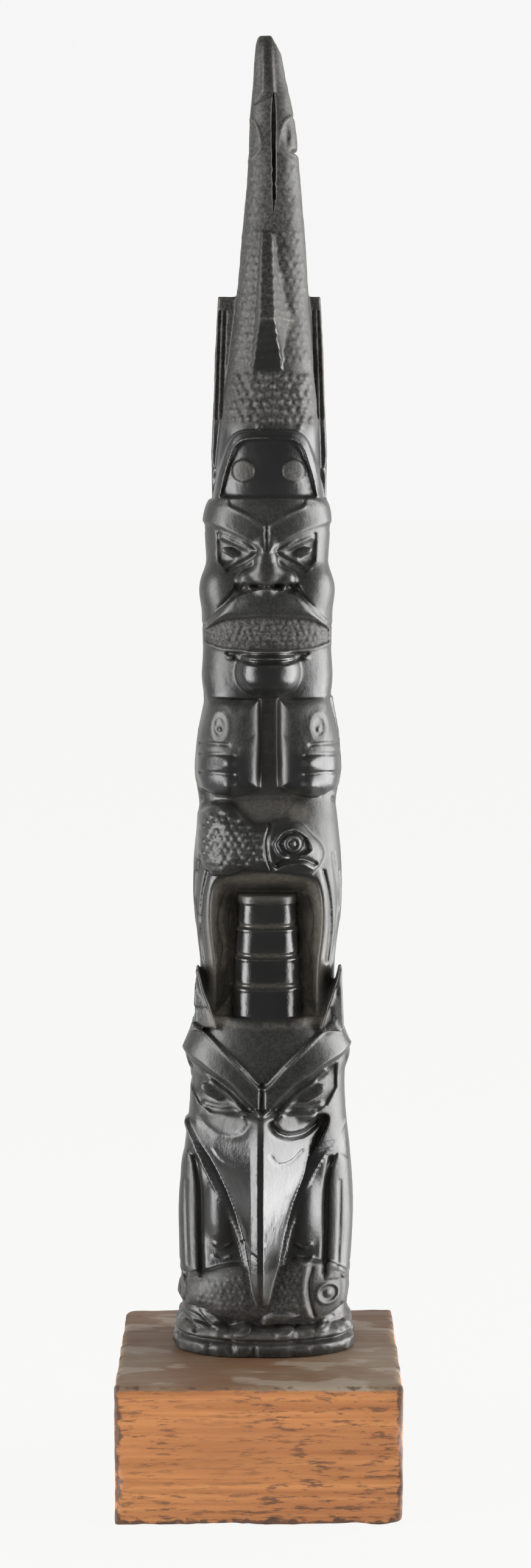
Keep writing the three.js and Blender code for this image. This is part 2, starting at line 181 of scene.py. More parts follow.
def section(rows, z):
    """A body at some heights: its half width, front, back, shoulder and middle."""
    z = np.asarray(z, float)
    half, front, back = (column.reshape(z.shape) for column in along(rows, z.ravel()))
    middle = along(DRIFT, z.ravel())[0].reshape(z.shape)
    return half, front, back, front + (back - front) * SHOULDER_SHARE, middle


def body(rows):
    """Rounded front, straight sides and a flat back, all changing with height."""
    low, high = rows[0][0], rows[-1][0]

    def shape(x, y, z):
        half, front, back, shoulder, middle = section(rows, z)
        reach = shoulder - front
        shares = (np.abs(x - middle) / half, np.maximum(shoulder - y, 0) / reach)
        front_part = to_oval(shares, (half, reach), FRONT_POWER, least=0.15)
        whole = soft_max(front_part, y - back, BACK_ROUNDING)
        whole = soft_max(whole, low - z, END_ROUNDING)
        return soft_max(whole, z - high, END_ROUNDING)

    return shape


def front_of(rows, x, z):
    """How far forward a body reaches at points of the front view."""
    half, front, _, shoulder, middle = section(rows, z)
    across = np.minimum(np.abs(x - middle) / half, 1)
    return shoulder + (front - shoulder) * (1 - across**FRONT_POWER) ** (1 / FRONT_POWER)


def turned(x, z, centre, turn):
    """Front-view offsets from a centre, in axes turned by an angle."""
    dx, dz = x - centre[0], z - centre[-1]
    c, s = np.cos(turn), np.sin(turn)
    return c * dx + s * dz, c * dz - s * dx


def pad(centre, radii, power=2.0, turn=0.0):
    """An ellipsoid, or with a higher power a fuller, squarer cushion of the same size."""

    def shape(x, y, z):
        across, up = turned(x, z, centre, turn)
        offsets = (across, y - centre[1], up)
        shares = [np.abs(offset) / radius for offset, radius in zip(offsets, radii)]
        return to_oval(shares, radii, power)

    return shape


def route_shape(route):
    """A limb along points of [x, y, z, radius in the front view, radius in depth]."""
    route = np.asarray(route, float)

    def shape(x, y, z):
        best = None
        for a, b in zip(route[:-1], route[1:]):
            way = b[:3] - a[:3]
            t = ((x - a[0]) * way[0] + (y - a[1]) * way[1] + (z - a[2]) * way[2]) / way.dot(way)
            t = np.clip(t, 0, 1)
            flat = np.hypot(x - a[0] - t * way[0], z - a[2] - t * way[2])
            deep = y - a[1] - t * way[1]
            high = a[3] + t * (b[3] - a[3])
            depth = a[4] + t * (b[4] - a[4])
            ratio = np.sqrt((flat / high) ** 2 + (deep / depth) ** 2)
            slope = np.sqrt((flat / high**2) ** 2 + (deep / depth**2) ** 2) / np.maximum(ratio, 0.05)
            part = (ratio - 1) / np.maximum(slope, 1e-3)
            best = part if best is None else soft_min(best, part, 0.8)
        return best

    return shape


def smooth_path(points, steps=8):
    """A Catmull-Rom curve through the points, as a finer list of points."""
    points = np.asarray(points, float)
    ends = np.vstack([2 * points[0] - points[1], points, 2 * points[-1] - points[-2]])
    fine = []
    for a, b, c, d in zip(ends[:-3], ends[1:-2], ends[2:-1], ends[3:]):
        for t in np.arange(steps) / steps:
            square = (2 * a - 5 * b + 4 * c - d) * t**2
            cube = (3 * b - a - 3 * c + d) * t**3
            fine.append(0.5 * (2 * b + (c - a) * t + square + cube))
    fine.append(points[-1])
    return np.array(fine)


def oval(centre, radii, count=22):
    """Points round an ellipse."""
    angles = np.linspace(0, 2 * np.pi, count)
    return np.stack([centre[0] + radii[0] * np.cos(angles), centre[1] + radii[1] * np.sin(angles)], 1)


def to_line(x, z, path):
    """Distance in the front view to a chain of points."""
    path = np.asarray(path, float)
    best = np.full(np.broadcast(x, z).shape, 1e9, np.float32)
    for a, b in zip(path[:-1], path[1:]):
        way = b - a
        t = np.clip(((x - a[0]) * way[0] + (z - a[1]) * way[1]) / max(way.dot(way), 1e-9), 0, 1)
        np.minimum(best, np.hypot(x - a[0] - t * way[0], z - a[1] - t * way[1]), out=best)
    return best


def is_inside(x, z, outline):
    """Whether points of the front view lie within a closed outline."""
    outline = np.asarray(outline, float)
    inside = np.zeros(np.broadcast(x, z).shape, bool)
    for a, b in zip(outline, np.roll(outline, -1, axis=0)):
        if a[1] == b[1]:
            continue
        crosses = (a[1] > z) != (b[1] > z)
        inside ^= crosses & (x < (b[0] - a[0]) * (z - a[1]) / (b[1] - a[1]) + a[0])
    return inside


def to_outline(x, z, outline):
    """Signed distance in the front view to a closed outline, negative inside."""
    outline = np.asarray(outline, float)
    distance = to_line(x, z, np.vstack([outline, outline[:1]]))
    return np.where(is_inside(x, z, outline), -distance, distance)


def cushion_rise(flat, width):
    """The height of a cushion, from 0 at its outline to 1 at a width within it."""
    return np.sqrt(1 - (1 - np.clip(-flat / width, 0, 1)) ** 2)


def prism(outline, near, far, edge, lean):
    """An outline in the front view, carried from one depth to another. Its face may lean along X."""
    start = np.mean(outline, 0)[0]

    def shape(x, y, z):
        flat = to_outline(x[:, 0, :], z[:, 0, :], outline)[:, None, :]
        face = (near + lean * (x - start) - y) / np.hypot(1, lean)
        return soft_max(flat, soft_max(face, y - far, edge), edge)

    return shape


def value_noise(x, y, z, size, seed):
    """Seeded lumps of a given size, from -1 to 1, at a grid's positions."""
    count = 24
    table = np.random.default_rng(seed).uniform(-1, 1, (count, count, count))
    cells, parts = [], []
    for axis in (x, y, z):
        place = axis / size
        cells.append(np.floor(place).astype(int))
        parts.append(smooth_step(0, 1, place - np.floor(place)))
    total = 0
    for corner in np.ndindex(2, 2, 2):
        weight = 1
        for part, side in zip(parts, corner):
            weight = weight * (part if side else 1 - part)
        i, j, k = (np.mod(cell + side, count) for cell, side in zip(cells, corner))
        total = total + weight * table[i, j, k]
    return total


# ---- The clay that the pole is carved from -------------------------------------------------


class Clay:
    """A block of voxels that holds the distance to the carved surface."""

    def __init__(self, low, high, step):
        self.step = step
        self.axes = [np.arange(a, b + step, step, dtype=np.float32) for a, b in zip(low, high)]
        self.field = np.full([len(axis) for axis in self.axes], FAR, np.float32)

    def grid(self, parts=(slice(None), slice(None), slice(None))):
        """The three axes, or a part of each, shaped so that together they span the voxels."""
        x, y, z = (axis[part] for axis, part in zip(self.axes, parts))
        return x[:, None, None], y[None, :, None], z[None, None, :]

    def layers(self):
        """Slabs of heights, so that a step over the whole field takes little memory."""
        for start in range(0, len(self.axes[2]), 64):
            yield slice(start, start + 64)

    def window(self, low, high):
        """The part of the field that holds a shape, and the coordinates there."""
        parts = []
        for axis, a, b in zip(self.axes, low, high):
            first = max(int(np.searchsorted(axis, a - MARGIN)), 0)
            last = min(int(np.searchsorted(axis, b + MARGIN)), len(axis))
            parts.append(slice(first, last))
        return (tuple(parts), *self.grid(parts))

    def add(self, low, high, shape, blend):
        part, x, y, z = self.window(low, high)
        self.field[part] = soft_min(self.field[part], shape(x, y, z), blend)

    def cut(self, low, high, shape, blend):
        part, x, y, z = self.window(low, high)
        self.field[part] = soft_max(self.field[part], -shape(x, y, z), blend)

    def body(self, rows):
        low = (self.axes[0][0], self.axes[1][0], rows[0][0])
        high = (self.axes[0][-1], self.axes[1][-1], rows[-1][0])
        self.add(low, high, body(rows), 0.8)

    def pad(self, centre, radii, power=2.0, turn=0.0, blend=0.8):
        longest = max(radii[0], radii[2])
        reach = np.array([longest, radii[1], longest])
        self.add(np.array(centre) - reach, np.array(centre) + reach, pad(centre, radii, power, turn), blend)

    def limb(self, route, blend):
        route = np.asarray(route, float)
        reach = route[:, [3, 4, 3]]
        low = (route[:, :3] - reach).min(0)
        high = (route[:, :3] + reach).max(0)
        self.add(low, high, route_shape(route), blend)

    def prism(self, outline, near, far, edge, blend=0.6, lean=0.0, cut=False):
        outline = np.asarray(outline, float)
        low = (outline[:, 0].min(), near - 12 * abs(lean), outline[:, 1].min())
        high = (outline[:, 0].max(), far, outline[:, 1].max())
        (self.cut if cut else self.add)(low, high, prism(outline, near, far, edge, lean), blend)

    def cushion(self, outline, rows, lift, bulge, width, blend):
        """A shape that stands on a body's front by a lift and swells inwards from its outline."""
        outline = np.asarray(outline, float)
        back = 6.0

        def shape(x, y, z):
            flat_x, flat_z = x[:, 0, :], z[:, 0, :]
            flat = to_outline(flat_x, flat_z, outline)
            front = front_of(rows, flat_x, flat_z) - lift - bulge * cushion_rise(flat, width)
            steep = np.minimum(np.hypot(*np.gradient(front, self.step)), 3)
            face = (front[:, None, :] - y) / np.hypot(1, steep[:, None, :])
            whole = soft_max(flat[:, None, :], face, 0.5)
            return soft_max(whole, y - back, 0.5)

        low = (outline[:, 0].min(), self.axes[1][0], outline[:, 1].min())
        high = (outline[:, 0].max(), back, outline[:, 1].max())
        self.add(low, high, shape, blend)

    def raise_by(self, relief, axis, share):
        """Moves the surface out by a relief over the heights and one other axis."""
        for part in self.layers():
            height = relief.sample(self.axes[axis], self.axes[2][part])
            if np.abs(height).max() > 1e-4:
                self.field[:, :, part] -= np.expand_dims(height, 1 - axis) * share

    def front(self, relief):
        """Moves out what faces the front. The relief fades away between two depths."""
        fade_from, fade_to = 2.0, 10.0
        near = np.clip((fade_to - self.axes[1]) / (fade_to - fade_from), 0, 1)
        self.raise_by(relief, 0, near[None, :, None])

    def sides(self, relief):
        """Moves out both sides, by a relief drawn over depth and height."""
        away = smooth_step(10, 16, np.abs(self.axes[0] - 0.8))
        self.raise_by(relief, 1, away[:, None, None])


class Relief:
    """Heights in millimetres over a flat view, for carving too fine to be a solid."""

    def __init__(self, low, high, step):
        self.low, self.step = low, step
        self.x = np.arange(low[0], high[0] + step, step)
        self.z = np.arange(low[1], high[1] + step, step)
        self.height = np.zeros((len(self.x), len(self.z)), np.float32)

    def window(self, points, margin):
        points = np.asarray(points, float)
        low = points[:, :2].min(0) - margin
        high = points[:, :2].max(0) + margin
        i = slice(max(np.searchsorted(self.x, low[0]), 0), np.searchsorted(self.x, high[0]))
        k = slice(max(np.searchsorted(self.z, low[1]), 0), np.searchsorted(self.z, high[1]))
        return (i, k), self.x[i][:, None], self.z[k][None, :]

    def line(self, points, width, height, smooth=True):
        """A ridge along a line, or with a negative height a groove."""
        path = smooth_path(points) if smooth and len(points) > 2 else np.asarray(points, float)
        part, x, z = self.window(path, 2 * width)
        distance = to_line(x, z, path)
        self.height[part] += height * np.exp(-((distance / (0.55 * width)) ** 2))

    def panel(self, outline, height, edge=0.6):
        """An area that stands out, or goes in, by an even height."""
        part, x, z = self.window(outline, edge + 1)
        self.height[part] += height * smooth_step(-edge, edge, -to_outline(x, z, outline))

    def dome(self, outline, height, width):
        """A cushion: it rises from the outline over a width."""
        part, x, z = self.window(outline, 1)
        self.height[part] += height * cushion_rise(to_outline(x, z, outline), width)

    def ledge(self, points, beyond, height, reach, edge=0.6):
        """Rises sharply across a line, and dies away on its far side, where the points beyond lie."""
        path = smooth_path(points)
        outline = np.vstack([path, beyond])
        part, x, z = self.window(outline, 1)
        distance = to_line(x, z, path) * np.where(is_inside(x, z, outline), 1, -1)
        fall = np.exp(-np.maximum(distance, 0) / reach)
        self.height[part] += height * smooth_step(-edge, edge, distance) * fall

    def blob(self, centre, radii, height, turn=0.0):
        """A small rounded bump, or with a negative height a pit."""
        part, x, z = self.window([centre], 2.2 * max(radii))
        across, up = turned(x, z, centre, turn)
        self.height[part] += height * np.exp(-((across / radii[0]) ** 2) - (up / radii[1]) ** 2)

    def pebbles(self, outline, pitch, radii, height, seed, lean=0.0):
        """Rows of small bumps, cut by hand: each second row is set half a step along."""
        draw = np.random.default_rng(seed)
        low, high = np.min(outline, 0), np.max(outline, 0)
        spread = 12 * abs(lean)
        for number, z in enumerate(np.arange(low[1] - spread, high[1] + spread, pitch[1])):
            for x in np.arange(low[0] + (number % 2) * pitch[0] / 2, high[0], pitch[0]):
                shift = draw.uniform(-0.16, 0.16, 2) * pitch
                size = draw.uniform(0.8, 1.15)
                swell = draw.uniform(0.7, 1.1)
                turn = draw.uniform(-0.4, 0.4)
                spot = np.array([x, z + lean * (x - low[0])]) + shift
                if to_outline(spot[:1], spot[1:], outline)[0] < -0.3:
                    self.blob(spot, np.array(radii) * size, height * swell, turn)

    def sample(self, x, z):
        """Heights at every pair of the given positions, read between the nearest points."""
        i = np.clip((x - self.low[0]) / self.step, 0, len(self.x) - 1.001)
        k = np.clip((z - self.low[1]) / self.step, 0, len(self.z) - 1.001)
        i0, k0 = i.astype(int), k.astype(int)
        a, b = (i - i0)[:, None], (k - k0)[None, :]
        h = self.height
        low = h[np.ix_(i0, k0)] * (1 - a) + h[np.ix_(i0 + 1, k0)] * a
        high = h[np.ix_(i0, k0 + 1)] * (1 - a) + h[np.ix_(i0 + 1, k0 + 1)] * a
        return low * (1 - b) + high * b

    def read(self, x, z):
        """Heights at scattered points, each from the nearest grid point."""
        i = np.clip(np.round((x - self.low[0]) / self.step).astype(int), 0, len(self.x) - 1)
        k = np.clip(np.round((z - self.low[1]) / self.step).astype(int), 0, len(self.z) - 1)
        return self.height[i, k]


# ---- The figures ---------------------------------------------------------------------------


def mirrored(middle, side):
    """What carries points to one side of a figure. They are given outwards from its middle."""
    return lambda points: [[middle + side * p[0], *p[1:]] for p in points]


def both(points, middle):
    """A line from the left end over the middle to the right end, from its right half."""
    return [[2 * middle - p[0], p[1]] for p in points] + [list(p) for p in reversed(points)]


def leaf(start, end, width):
    """A pointed oval from one point to another."""
    start, end = np.asarray(start, float), np.asarray(end, float)
    way = end - start
    across = np.array([-way[1], way[0]]) / np.hypot(*way)
    share = np.linspace(0, 1, 9)
    swell = width / 2 * np.sin(np.pi * share)
    spine = start + share[:, None] * way
    return np.vstack([spine + swell[:, None] * across, (spine - swell[:, None] * across)[-2:0:-1]])


def carve_eye(clay, relief, rows, side, socket, lids, ball, radii, turn):
    """A sunk socket with an almond ball in it and a ridge for each lid."""
    relief.dome(socket, -1.3, 3.2)
    x, z = ball
    y = float(front_of(rows, np.array([x]), np.array([z]))[0])
    clay.pad((x, y + 1.1, z), (radii[0], 2.4, radii[1]), turn=turn * side, blend=0.4)
    for lid, height in zip(lids, (0.9, 0.8)):
        relief.line(lid, 1.5, height)


def carve_whale(clay, relief, dust_and_reflection, matte_and_shade):
    """The diving whale: hood, body, dorsal fin and the upright tail."""
    clay.body(WHALE_BODY)
    middle = 1.1
    for side in (-1, 1):
        at = mirrored(middle, side)
        plate = at([[17, 250], [17.4, 272], [16.6, 289], [16.2, 302], [15.3, 318.2], [9.6, 318.2], [8, 250]])
        clay.prism(plate, 6, 20.5, edge=1.0)
        for x in (14.2, 15.7):
            groove = at([[x + 0.3, 282], [x - 0.3, 282], [x - 1.4, 314], [x - 0.9, 314]])
            clay.prism(groove, 4, 6.9, edge=0.3, blend=0.4, cut=True)
        # The flukes meet the stock in a band with a hollow oval on each side.
        for low, high in ((359.4, 361.6), (369.9, 371.6)):
            notch = at([[8.6, low], [8.6, high], [6.1, (low + high) / 2]])
            clay.prism(notch, -10, 20, edge=0.3, blend=0.5, cut=True)
        relief.blob((middle + side * 5.3, 365), (0.8, 2.4), -0.8)
        arc = at([[6.6, 370.6], [4.4, 368.6], [2.9, 364.6], [2.6, 361.4], [4.4, 359], [7, 357.6]])
        relief.line(arc, 0.9, 0.4)
    carve_hood(clay, relief, matte_and_shade)
    carve_fin(clay)
    slit = [[2.1, 346], [2.5, 342.6], [3.0, 346], [2.9, 360], [3.0, 371], [2.4, 378.2], [1.8, 371],
            [2.0, 360]]
    clay.prism(slit, -20, 5, edge=0.3, blend=0.5, cut=True)
    broken = [[1.5, 397], [1.9, 394.6], [4.3, 390.2], [9, 386], [9, 397]]
    clay.prism(broken, -20, 30, edge=0.4, blend=0.4, cut=True)
    relief.panel([[-1.3, 377.5], [2.9, 377.5], [1.9, 394], [-0.9, 394]], 0.8, edge=0.4)
    relief.line([[-3.2, 374.6], [-1.1, 375.6], [1.6, 377]], 0.7, -0.6)
    rows = [[-10.6, 279], [14, 279], [14.6, 288], [14.2, 295.5], [-10.6, 295.5]]
    relief.pebbles(rows, (2.3, 2.5), (0.9, 1.0), 0.85, seed=3)
    relief.pebbles([[-10, 297], [13.6, 297], [11, 338], [-7.6, 338]], (2.0, 2.3), (0.65, 0.7), 0.35, seed=4)
    relief.pebbles([[-6.6, 339], [10.6, 339], [9, 357], [-5.4, 357]], (2.0, 2.3), (0.6, 0.7), 0.25, seed=6)
    matte_and_shade.panel([[-30, 279], [30, 279], [30, 399], [-30, 399]], 0.8, edge=2)
    matte_and_shade.panel([[-1.4, 309], [2.4, 309], [1.9, 337], [-1.2, 337]], -0.3, edge=0.6)
    matte_and_shade.panel([[-1.3, 377.5], [2.9, 377.5], [1.9, 396], [-0.9, 396]], -0.4, edge=0.4)
    dust_and_reflection.panel([[2.9, 333], [4.0, 323], [7.2, 312], [7.8, 304], [6.0, 305], [3.8, 315]], 0.13, edge=1.4)
    # The fin's underside is made polished: less rough, and darker in colour as painted shade for the shade
    # under the fin.
    matte_and_shade.panel([[-2.4, 309.4], [3.2, 309.4], [6.4, 295.4], [-3.4, 295.4]], -0.8, edge=0.6)


def carve_hood(clay, relief, matte_and_shade):
    """The rounded shield above the bear's brow: a raised rim round a smooth field with two discs."""
    middle = 0.9
    rim = [[16.4, 258.6], [14.6, 266], [12.9, 270.8], [11.2, 274.8], [8.8, 276.9], [5.2, 277.6]]
    rim = both(mirrored(middle, 1)(rim), middle)
    path = smooth_path(rim, 5)
    edge = np.vstack([path + [[0, 0.7]], [[17.6, 256.6], [-15.9, 256.6]]])

    def shape(x, y, z):
        flat = to_outline(x[:, 0, :], z[:, 0, :], edge)[:, None, :]
        return soft_max(soft_max(flat - 0.3, body(HOOD_BODY)(x, y, z), 1.4), y - 8, 1)

    clay.add((-18, -13, 256), (19, 8, 279), shape, 0.5)
    field = np.array(path) * [0.9, 1] + [0.1 * middle, -1.9]
    field[[0, -1], 1] = 258.6
    relief.dome(field, -1.3, 1.8)
    relief.line(field[2:-2], 0.9, 0.35)
    for side in (-1, 1):
        centre = (middle + side * 7.5, 266.4)
        relief.dome(oval(centre, (3.4, 3.4)), 0.6, 0.9)
        matte_and_shade.panel(oval(centre, (3.2, 3.2)), 0.6)


def carve_fin(clay):
    """The dorsal fin: a blade that leans out to its knee and is cut back below it."""
    knee, top, foot = 310.2, 336, 294.8
    middle, knee_y, knee_half = 0.45, -19, 2.2

    def shape(x, y, z):
        rise = (z - knee) / (top - knee)
        fall = (knee - z) / (knee - foot)
        above = z > knee
        edge = np.where(above, knee_y + 15.5 * rise, knee_y + 16 * fall)
        half = np.where(above, knee_half - 0.6 * rise, knee_half + 2.5 * fall)
        spread = np.where(above, 0.27 - 0.13 * rise, 0.25 - 0.2 * fall)
        behind = np.maximum(y - edge, 0)
        left = middle - x - half - 0.07 * behind
        right = (x - middle - half - spread * behind) / np.hypot(1, spread)
        front = (edge - y) * np.where(above, 0.86, 0.7)
        return soft_max(soft_max(np.maximum(left, right), front, 0.6), z - 336.4, 1.4)

    clay.add((-8, -21, 290), (12, 6, 338), shape, 1.0)


def carve_bear(clay, relief, dust_and_reflection, matte_and_shade):
    """The bear: a broad head, forepaws held to its chest, and a salmon across its knees."""
    clay.body(BEAR_HEAD)
    clay.body(BEAR_ARMS)
    clay.body(BEAR_LEGS)
    middle = 0.4
    brow = both([[19.6, 251.2], [13.5, 249.4], [8.6, 247.2], [4.9, 245.2], [1.4, 242.9]], middle)
    relief.ledge(brow, [[20, 258], [-19, 258]], 0.9, 7, edge=0.8)
    crest = both([[11.4, 255.8], [6.2, 253.4], [2.8, 250.8], [0.6, 249.2]], middle)
    relief.line(crest, 1.0, 0.45)
    relief.ledge(crest, [[12, 259], [-11, 259]], -0.35, 4, edge=0.5)
    relief.line([[middle, 249.4], [middle, 246], [middle, 243.4]], 1.1, -0.9)
    for side in (-1, 1):
        at = mirrored(middle, side)
        socket = at([[14.8, 248.6], [9.4, 246.6], [2.4, 242], [6.2, 238.8], [11.6, 236.4], [14.4, 240]])
        lids = [at([[13.4, 246.9], [9.1, 245], [4.2, 242.6]]),
                at([[11.8, 238.2], [8.4, 240.2], [5.2, 241.9]])]
        ball, cheek, nostril = at([[10.2, 242.4], [12.4, -1.2, 232], [7.4, 231.7]])
        carve_eye(clay, relief, BEAR_HEAD, side, socket, lids, ball, (4.4, 2.7), 0.35)
        clay.pad(cheek, (7.4, 8.6, 7.4), blend=4)
        wing = [[1.6, -11.6, 237, 2.2, 2.4], [5.6, -10.2, 234.4, 2.7, 2.8], [7.6, -8.6, 233.8, 2, 2.4]]
        clay.limb(at(wing), 1)
        relief.blob(nostril, (1.5, 1.0), -1.6)
        clay.pad((nostril[0], -10.6, nostril[1]), (0.8, 1.3, 0.7), blend=0.3)
        relief.line(at([[8.8, 232.6], [11.1, 228.8], [14.7, 224.8], [18.6, 220.6]]), 1.3, -0.9)
    clay.limb([[0.2, -9.8, 245, 2.2, 2], [0.2, -11.4, 240.6, 3.0, 2.6], [0.2, -11.8, 235.6, 3.8, 3.2]], 1.8)
    matte_and_shade.panel([[-24, 204], [24, 204], [22, 257.6], [-20, 257.6]], 0.26, edge=3)
    matte_and_shade.panel([[-24, 183], [24, 183], [22, 199], [-20, 199]], 0.26, edge=3)
    relief.line([[-6.4, 233], [0.2, 232.4], [7.4, 233]], 1.0, -0.9)
    carve_muzzle(clay, relief, matte_and_shade)
    carve_arms(clay, relief, dust_and_reflection)
    carve_salmon(clay, relief, dust_and_reflection, matte_and_shade)
    carve_niche(clay, relief, dust_and_reflection, matte_and_shade)


def carve_muzzle(clay, relief, matte_and_shade):
    """Lips, a band of teeth and the chin."""
    middle = 0.6
    lip = both([[19.2, 221.6], [15.2, 225.4], [11.2, 228.5], [7.4, 230.5], [2.4, 232]], middle)
    under = both([[19, 219.6], [15.4, 221.6], [11, 222.8], [4, 223.2]], middle)
    lip, under = smooth_path(lip, 5), smooth_path(under, 5)
    relief.dome(np.vstack([lip, under[::-1]]), 2.3, 3.6)
    relief.line(lip, 1.2, 0.5)
    sill = smooth_path(both([[19, 215.2], [13.6, 213.9], [6.5, 213.5]], middle), 5)
    mouth = np.vstack([under, sill[::-1]])
    relief.dome(mouth, -1.5, 1.2)
    relief.dome(mouth, 1.3, 4.6)
    tooth_width = 3.65
    for number in range(9):
        left = -15.8 + number * tooth_width
        ends, tip = (222.4, 216) if number % 2 else (215.6, 221.8)
        tooth = [[left, ends], [left + 1.83, tip], [left + tooth_width, ends]]
        relief.line(tooth, 0.8, -0.26, smooth=False)
    relief.pebbles(mouth, (1.7, 1.7), (0.62, 0.62), 0.5, seed=14)
    centre = sill[np.abs(sill[:, 0] - middle) < 12]
    relief.line(sill, 1.3, 0.5)
    relief.line(centre - [0, 1.3], 0.9, -0.8)
    relief.line(centre - [0, 2.5], 1.2, 0.6)
    clay.pad((0.8, -4.6, 207.2), (9.9, 11.0, 7.8), power=2.25, blend=0.8)
    relief.line([[-9, 211.2], [-4, 210.4], [0.8, 210.2], [6, 210.4], [10.6, 211.2]], 1.2, -1.3)
    matte_and_shade.panel(mouth, 0.9, edge=1)
    matte_and_shade.panel(oval((0.8, 206.4), (8.6, 5.6)), -0.45, edge=1.5)


def carve_arms(clay, relief, dust_and_reflection):
    """Forearms that come down on each side of a groove to paws with bent fingers."""
    middle = 1.1
    for side in (-1, 1):
        at = mirrored(middle, side)
        arm = at([[2.8, 199], [2.8, 186], [3, 172.4], [6.6, 170.6], [12.4, 169.4], [16.8, 169.6],
                  [20.6, 171.6], [22, 177], [21.4, 188], [19.4, 199]])
        clay.cushion(arm, BEAR_ARMS, 1.5, 4.0, 7.0, blend=1.4)
        thumb = at([[3.4, 189], [9.2, 184.4], [9, 171.4], [3.4, 171]])
        relief.dome(thumb, 0.3, 3.0)
        joint = (middle + side * 14.8, 190.6)
        relief.line(oval(joint, (2.8, 4.4)), 1.2, 0.2, smooth=False)
        relief.dome(oval(joint, (1.6, 2.8)), -0.5, 1.4)
        relief.blob((joint[0], 189.8), (0.6, 0.8), 0.7)
        for z, start in ((185.3, 12.2), (182.2, 10.6), (176.6, 10.6)):
            relief.line(at([[start, z], [15.4, z + 0.3], [20.6, z - 0.2]]), 0.9, -0.6)
        for z in (179.8, 173.2):
            relief.blob((middle + side * 12.2, z), (2.8, 2.2), 1.9)
    groove = [[-1.5, 199.4], [3.8, 199.4], [4, 172], [-1.9, 172]]
    dust_and_reflection.panel(groove, 0.14, edge=1.6)


def carve_salmon(clay, relief, dust_and_reflection, matte_and_shade):
    """The salmon in the bear's mouth of paws, with its head to the right and bumps for scales."""
    back = [[-20.6, 163.6], [-16.4, 167], [-11.8, 168], [-8.4, 166], [-5.6, 162.8], [-2.4, 161.5], [2, 162.4],
            [6.6, 163.1], [10.6, 161.8], [13.6, 158.6], [16.6, 155.4], [17.6, 152.2], [16.4, 149]]
    belly = [[13.6, 146.4], [4, 145.8], [-1, 147.4], [-6.5, 148.1], [-11, 146.2], [-16.6, 146],
             [-20.6, 150.6]]
    outline = np.vstack([smooth_path(back, 4), belly])
    clay.cushion(outline, BEAR_LEGS, 1.6, 3.6, 6.0, blend=0.7)
    eye = [[2.6, 156.2], [5, 159.4], [8.6, 160.3], [12.4, 157.8], [13.8, 154.2], [10.6, 152.2], [6.8, 151.8],
           [4, 153.4], [2.6, 156.2]]
    relief.dome(eye, -0.9, 1.6)
    relief.line(eye, 1.0, 0.6)
    relief.dome(oval((8.1, 156.2), (3, 2.9)), 1.3, 1.6)
    relief.line(oval((8.1, 156.2), (1.2, 1.2), count=12), 0.8, -0.6, smooth=False)
    relief.line([[3.4, 149.8], [6.4, 151.3], [11.2, 151.6], [14.8, 149.8]], 1.1, -1.2)
    relief.line([[3.4, 148.4], [7, 149.8], [11, 150], [14.2, 148.4]], 1.1, 0.6)
    relief.line([[1.4, 161.4], [0.2, 157], [0.6, 152], [1.8, 148.4]], 1.1, -0.8)
    scales = [[-19.2, 164], [-12, 167], [-7, 164], [-3.4, 161], [-0.8, 160], [-0.6, 149], [-7, 149.6],
              [-12, 147.6], [-18, 148.6], [-20, 152]]
    relief.pebbles(scales, (2.1, 1.9), (0.86, 0.76), 0.7, seed=8, lean=-0.06)
    matte_and_shade.panel(scales, 0.35, edge=1)
    matte_and_shade.panel([[13, 150], [24, 150], [22, 170], [8, 170]], 0.4, edge=3)
    # A pale square on the flat face above the salmon's head is a painted reflection of the right lamp.
    dust_and_reflection.panel([[7.6, 162.6], [12.2, 162.2], [12.4, 166.4], [7.8, 166.8]], 0.3, edge=0.7)
    dust_and_reflection.panel([[-9, 170], [9, 170], [7, 163.6], [-2, 162], [-7, 165]], 0.2, edge=2.5)
    matte_and_shade.panel([[-9, 170], [9, 170], [7, 163.6], [-2, 162], [-7, 165]], 0.5, edge=2.5)


def carve_niche(clay, relief, dust_and_reflection, matte_and_shade):
    """The hollow between the bear's legs, where the raven's hat stands."""
    middle = 0.1
    half = [[16.9, 118], [17.6, 128], [16.9, 138], [14.6, 143.8], [9.5, 145.6], [4, 146.6]]
    arch = smooth_path(both(mirrored(middle, 1)(half), middle), 4)
    outline = np.vstack([[[-17.6, 100.5], [17.4, 100.5]], arch[::-1]])

    def shape(x, y, z):
        flat = to_outline(x[:, 0, :], z[:, 0, :], outline)[:, None, :]
        walls = (flat + 0.6 * np.maximum(y + 5, -1)) / 1.15
        ceiling = (y - 9 + 1.7 * np.maximum(z - 137, 0)) / 1.4
        return soft_max(walls, ceiling, 0.8)

    clay.cut((-19, -26, 100), (19, 10, 148), shape, 0.9)
    dust_and_reflection.panel(outline, 0.5, edge=1.2)
    dust_and_reflection.panel([[-11, 101], [12, 101], [9.4, 139.6], [-8.4, 139.6]], -0.5, edge=0.5)
    # Paler panels on the niche's two side walls.
    dust_and_reflection.panel([[-14.2, 135.4], [-11, 135.4], [-11.6, 116], [-15.4, 116]], 0.4, edge=0.8)
    dust_and_reflection.panel([[11.8, 133.6], [14, 133.6], [15.6, 121], [13.2, 121]], 0.4, edge=0.8)
    for side in (-1, 1):
        leg = [[18.4, 119], [19.4, 129], [18.9, 139], [17.2, 147]]
        relief.line(mirrored(middle, side)(leg), 1.0, -0.7)
        at = mirrored(0.4, side)
        relief.line(at([[20.8, 110], [21.6, 124], [21.4, 138], [19.8, 152]]), 0.9, -0.5)
        matte_and_shade.panel(at([[17.6, 101], [24, 101], [24, 150], [17.6, 150]]), 0.34, edge=1.5)


